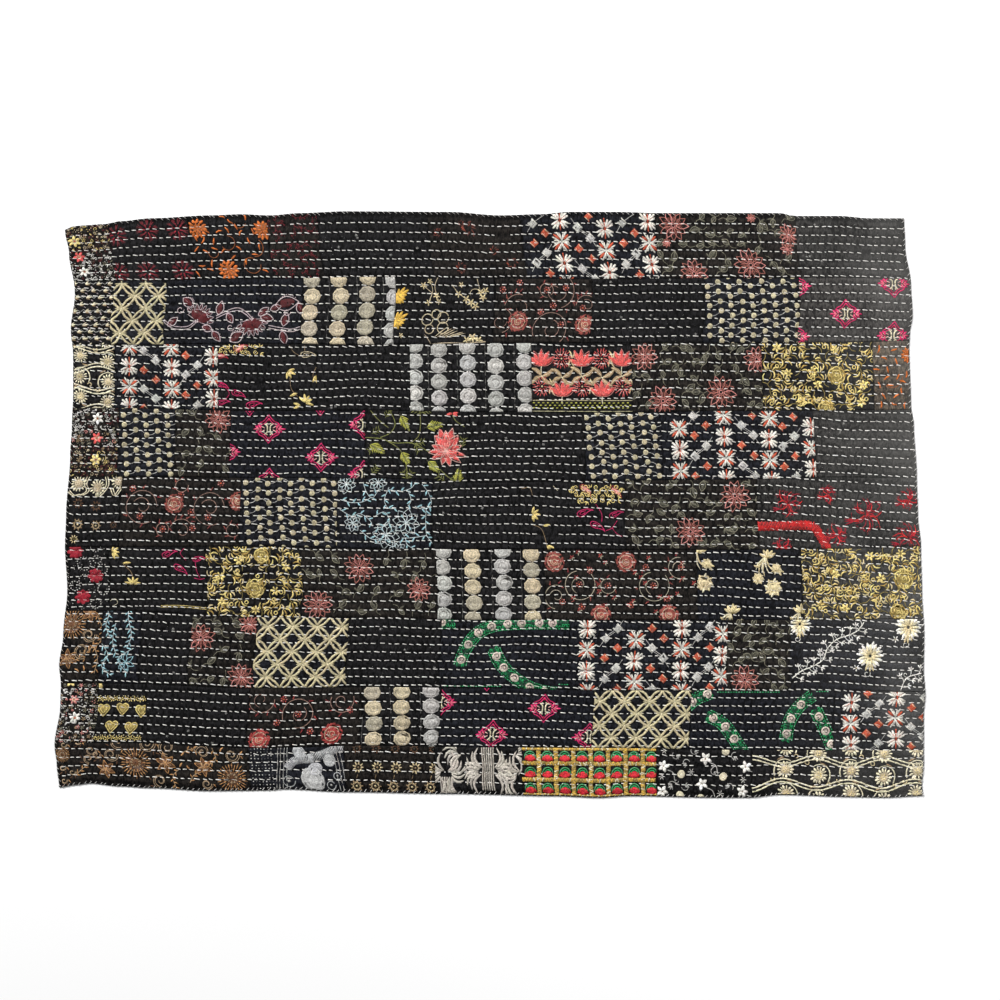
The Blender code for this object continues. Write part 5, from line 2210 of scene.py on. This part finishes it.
      ((85, 48, 16), (255, 36, 17), (189, 33, 18)),
      ((95, 21, 14, 0, 500), (159, 0, 16, 0, 500), (194, 5, 17, 90, 500), (255, 10, 14, 180, 500),
       (305, 14, 14, 0, 480), (258, 65, 11, 0, 460), (177, 64, 14, 90, 460), (109, -2, 15, 60, 400),
       (16, 3, 7, 0, 330), (40, -2, 7, 0, 330), (10, 43, 7, 0, 330), (26, 53, 7, 0, 330),
       (10, 66, 7, 0, 330), (62, 14, 11, 0, 400), (56, 30, 10, 90, 400), (70, 22, 9, 0, 400)),
      (((229, 64), (236, 52), (246, 46)), ((29, 60), (50, 44)), ((222, 12), (238, 6), (250, 14)),
       ((272, 3), (277, 22), (262, 32)), ((212, 42), (200, 56), (204, 76))),
      ((220, 15, -50), (215, 34, -60), (229, 38, 50), (288, 5, -60), (320, 10, -50))),
     (499, "blue_black", silver_work),
     (655, "brown_black", blossom_rows),
     (806, "black", acanthus),
     (1038, "black", strawberries),
     (1204, "black", white_flowers),
     (1500, "black", sun_waves, 57, 34, 57, 39, 15)),
)


def embroidered(patch, draw, settings):
    """A patch's embroidery."""
    work = Work(patch)
    draw(work, *settings)
    return new_piece(embroidery_mesh(work), WORK_MATERIAL)


def build_patches():
    """Every patch of every strip, and its embroidery."""
    for strip, row in enumerate(STRIPS):
        left = 0
        for column, (right, cloth, draw, *settings) in enumerate(row):
            patch = Patch(strip, column, left, right)
            points, faces = patch_mesh(patch)
            data = mesh_of("patch_" + patch.name, points, faces)
            piece = new_piece(data, CLOTH_MATERIALS[cloth])
            piece.data.set_sharp_from_angle(angle=math.radians(SHARP_ANGLE))
            embroidered(patch, draw, settings)
            left = right


# ---------------------------------------------------------------- put together
points, faces = quilt_back()
back = new_piece(mesh_of("quilt_back", points, faces), CLOTH_MATERIALS["black"])
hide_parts("quilt")
build_patches()
stitches = all_stitches()
turned_back = between(stitches)
strip_of = np.searchsorted(SEAM_DOWNS, row_down(stitches[:, 1] * MM, stitches[:, 0] + 0.5)) - 1
for strip in range(len(STRIPS)):
    face_stitches(f"running_stitches_{strip + 1}", stitches[strip_of == strip])
    low, high = strip * ROW_COUNT / len(STRIPS), (strip + 1) * ROW_COUNT / len(STRIPS)
    shown = (turned_back[:, 0] >= low) & (turned_back[:, 0] < high)
    back_stitches(f"back_stitches_{strip + 1}", turned_back[shown])
for number, edge in enumerate(WHIP_EDGES):
    whip_stitches(number, *edge)


# ---------------------------------------------------------------- floor, light and camera
FLOOR_REACH = 5.0
FLOOR_COLOUR = (0.93, 0.93, 0.93, 1.0)
LIGHTS = (
    # name, place, target, size, power
    ("window", (2.0, 0.45, 2.0), (0.2, 0.1, 0.0), (0.7, 0.7), 42.0),
    ("softbox", (-6.0, 7.0, 5.0), (0.0, 0.0, 0.0), (3.0, 3.0), 2100.0),
)
LENS = 83.6
SENSOR = 36.0
CAMERA_PLACE = (0.0172, 0.00775, 4.0)
SKY_EDGE = (0.45, 0.80)     # the sky dims between these heights
SKY_LEVELS = (1.35, 0.05)


def floor():
    """A wide pale floor for the quilt to lie on."""
    sides = ((-1, -1), (1, -1), (1, 1), (-1, 1))
    corners = [(x * FLOOR_REACH, y * FLOOR_REACH, 0) for x, y in sides]
    data = mesh_of("floor", corners, [(0, 1, 2, 3)])
    material, _, shader = new_material("floor", 1.0, 0.0)
    shader.inputs["Base Color"].default_value = FLOOR_COLOUR
    data.materials.append(material)
    plane = bpy.data.objects.new("floor", data)
    bpy.context.scene.collection.objects.link(plane)


def area_light(name, place, target, size, power):
    """A lamp with a rectangular face, turned towards a target."""
    data = bpy.data.lights.new(name, "AREA")
    data.shape = "RECTANGLE"
    data.size, data.size_y = size
    data.energy = power
    lamp = bpy.data.objects.new(name, data)
    lamp.location = place
    direction = [b - a for a, b in zip(place, target)]
    lamp.rotation_euler = Vector(direction).to_track_quat("-Z", "Y").to_euler()
    bpy.context.scene.collection.objects.link(lamp)


def camera():
    """A camera straight above the quilt."""
    data = bpy.data.cameras.new("camera")
    data.lens = LENS
    data.sensor_width = SENSOR
    data.dof.use_dof = False
    view = bpy.data.objects.new("camera", data)
    view.location = CAMERA_PLACE
    bpy.context.scene.collection.objects.link(view)
    bpy.context.scene.camera = view


def studio_world():
    """Soft light from all round, none from overhead."""
    world = bpy.data.worlds.new("studio")
    world.use_nodes = True
    tree = world.node_tree
    place = add_node(tree, "ShaderNodeTexCoord").outputs["Generated"]
    up = add_node(tree, "ShaderNodeSeparateXYZ", {"Vector": place}).outputs["Z"]
    strength = ramp(tree, up, *SKY_EDGE, *SKY_LEVELS)
    tree.links.new(strength, tree.nodes["Background"].inputs["Strength"])
    bpy.context.scene.world = world


floor()
studio_world()
for light in LIGHTS:
    area_light(*light)
camera()
bpy.context.scene.view_settings.view_transform = "Standard"
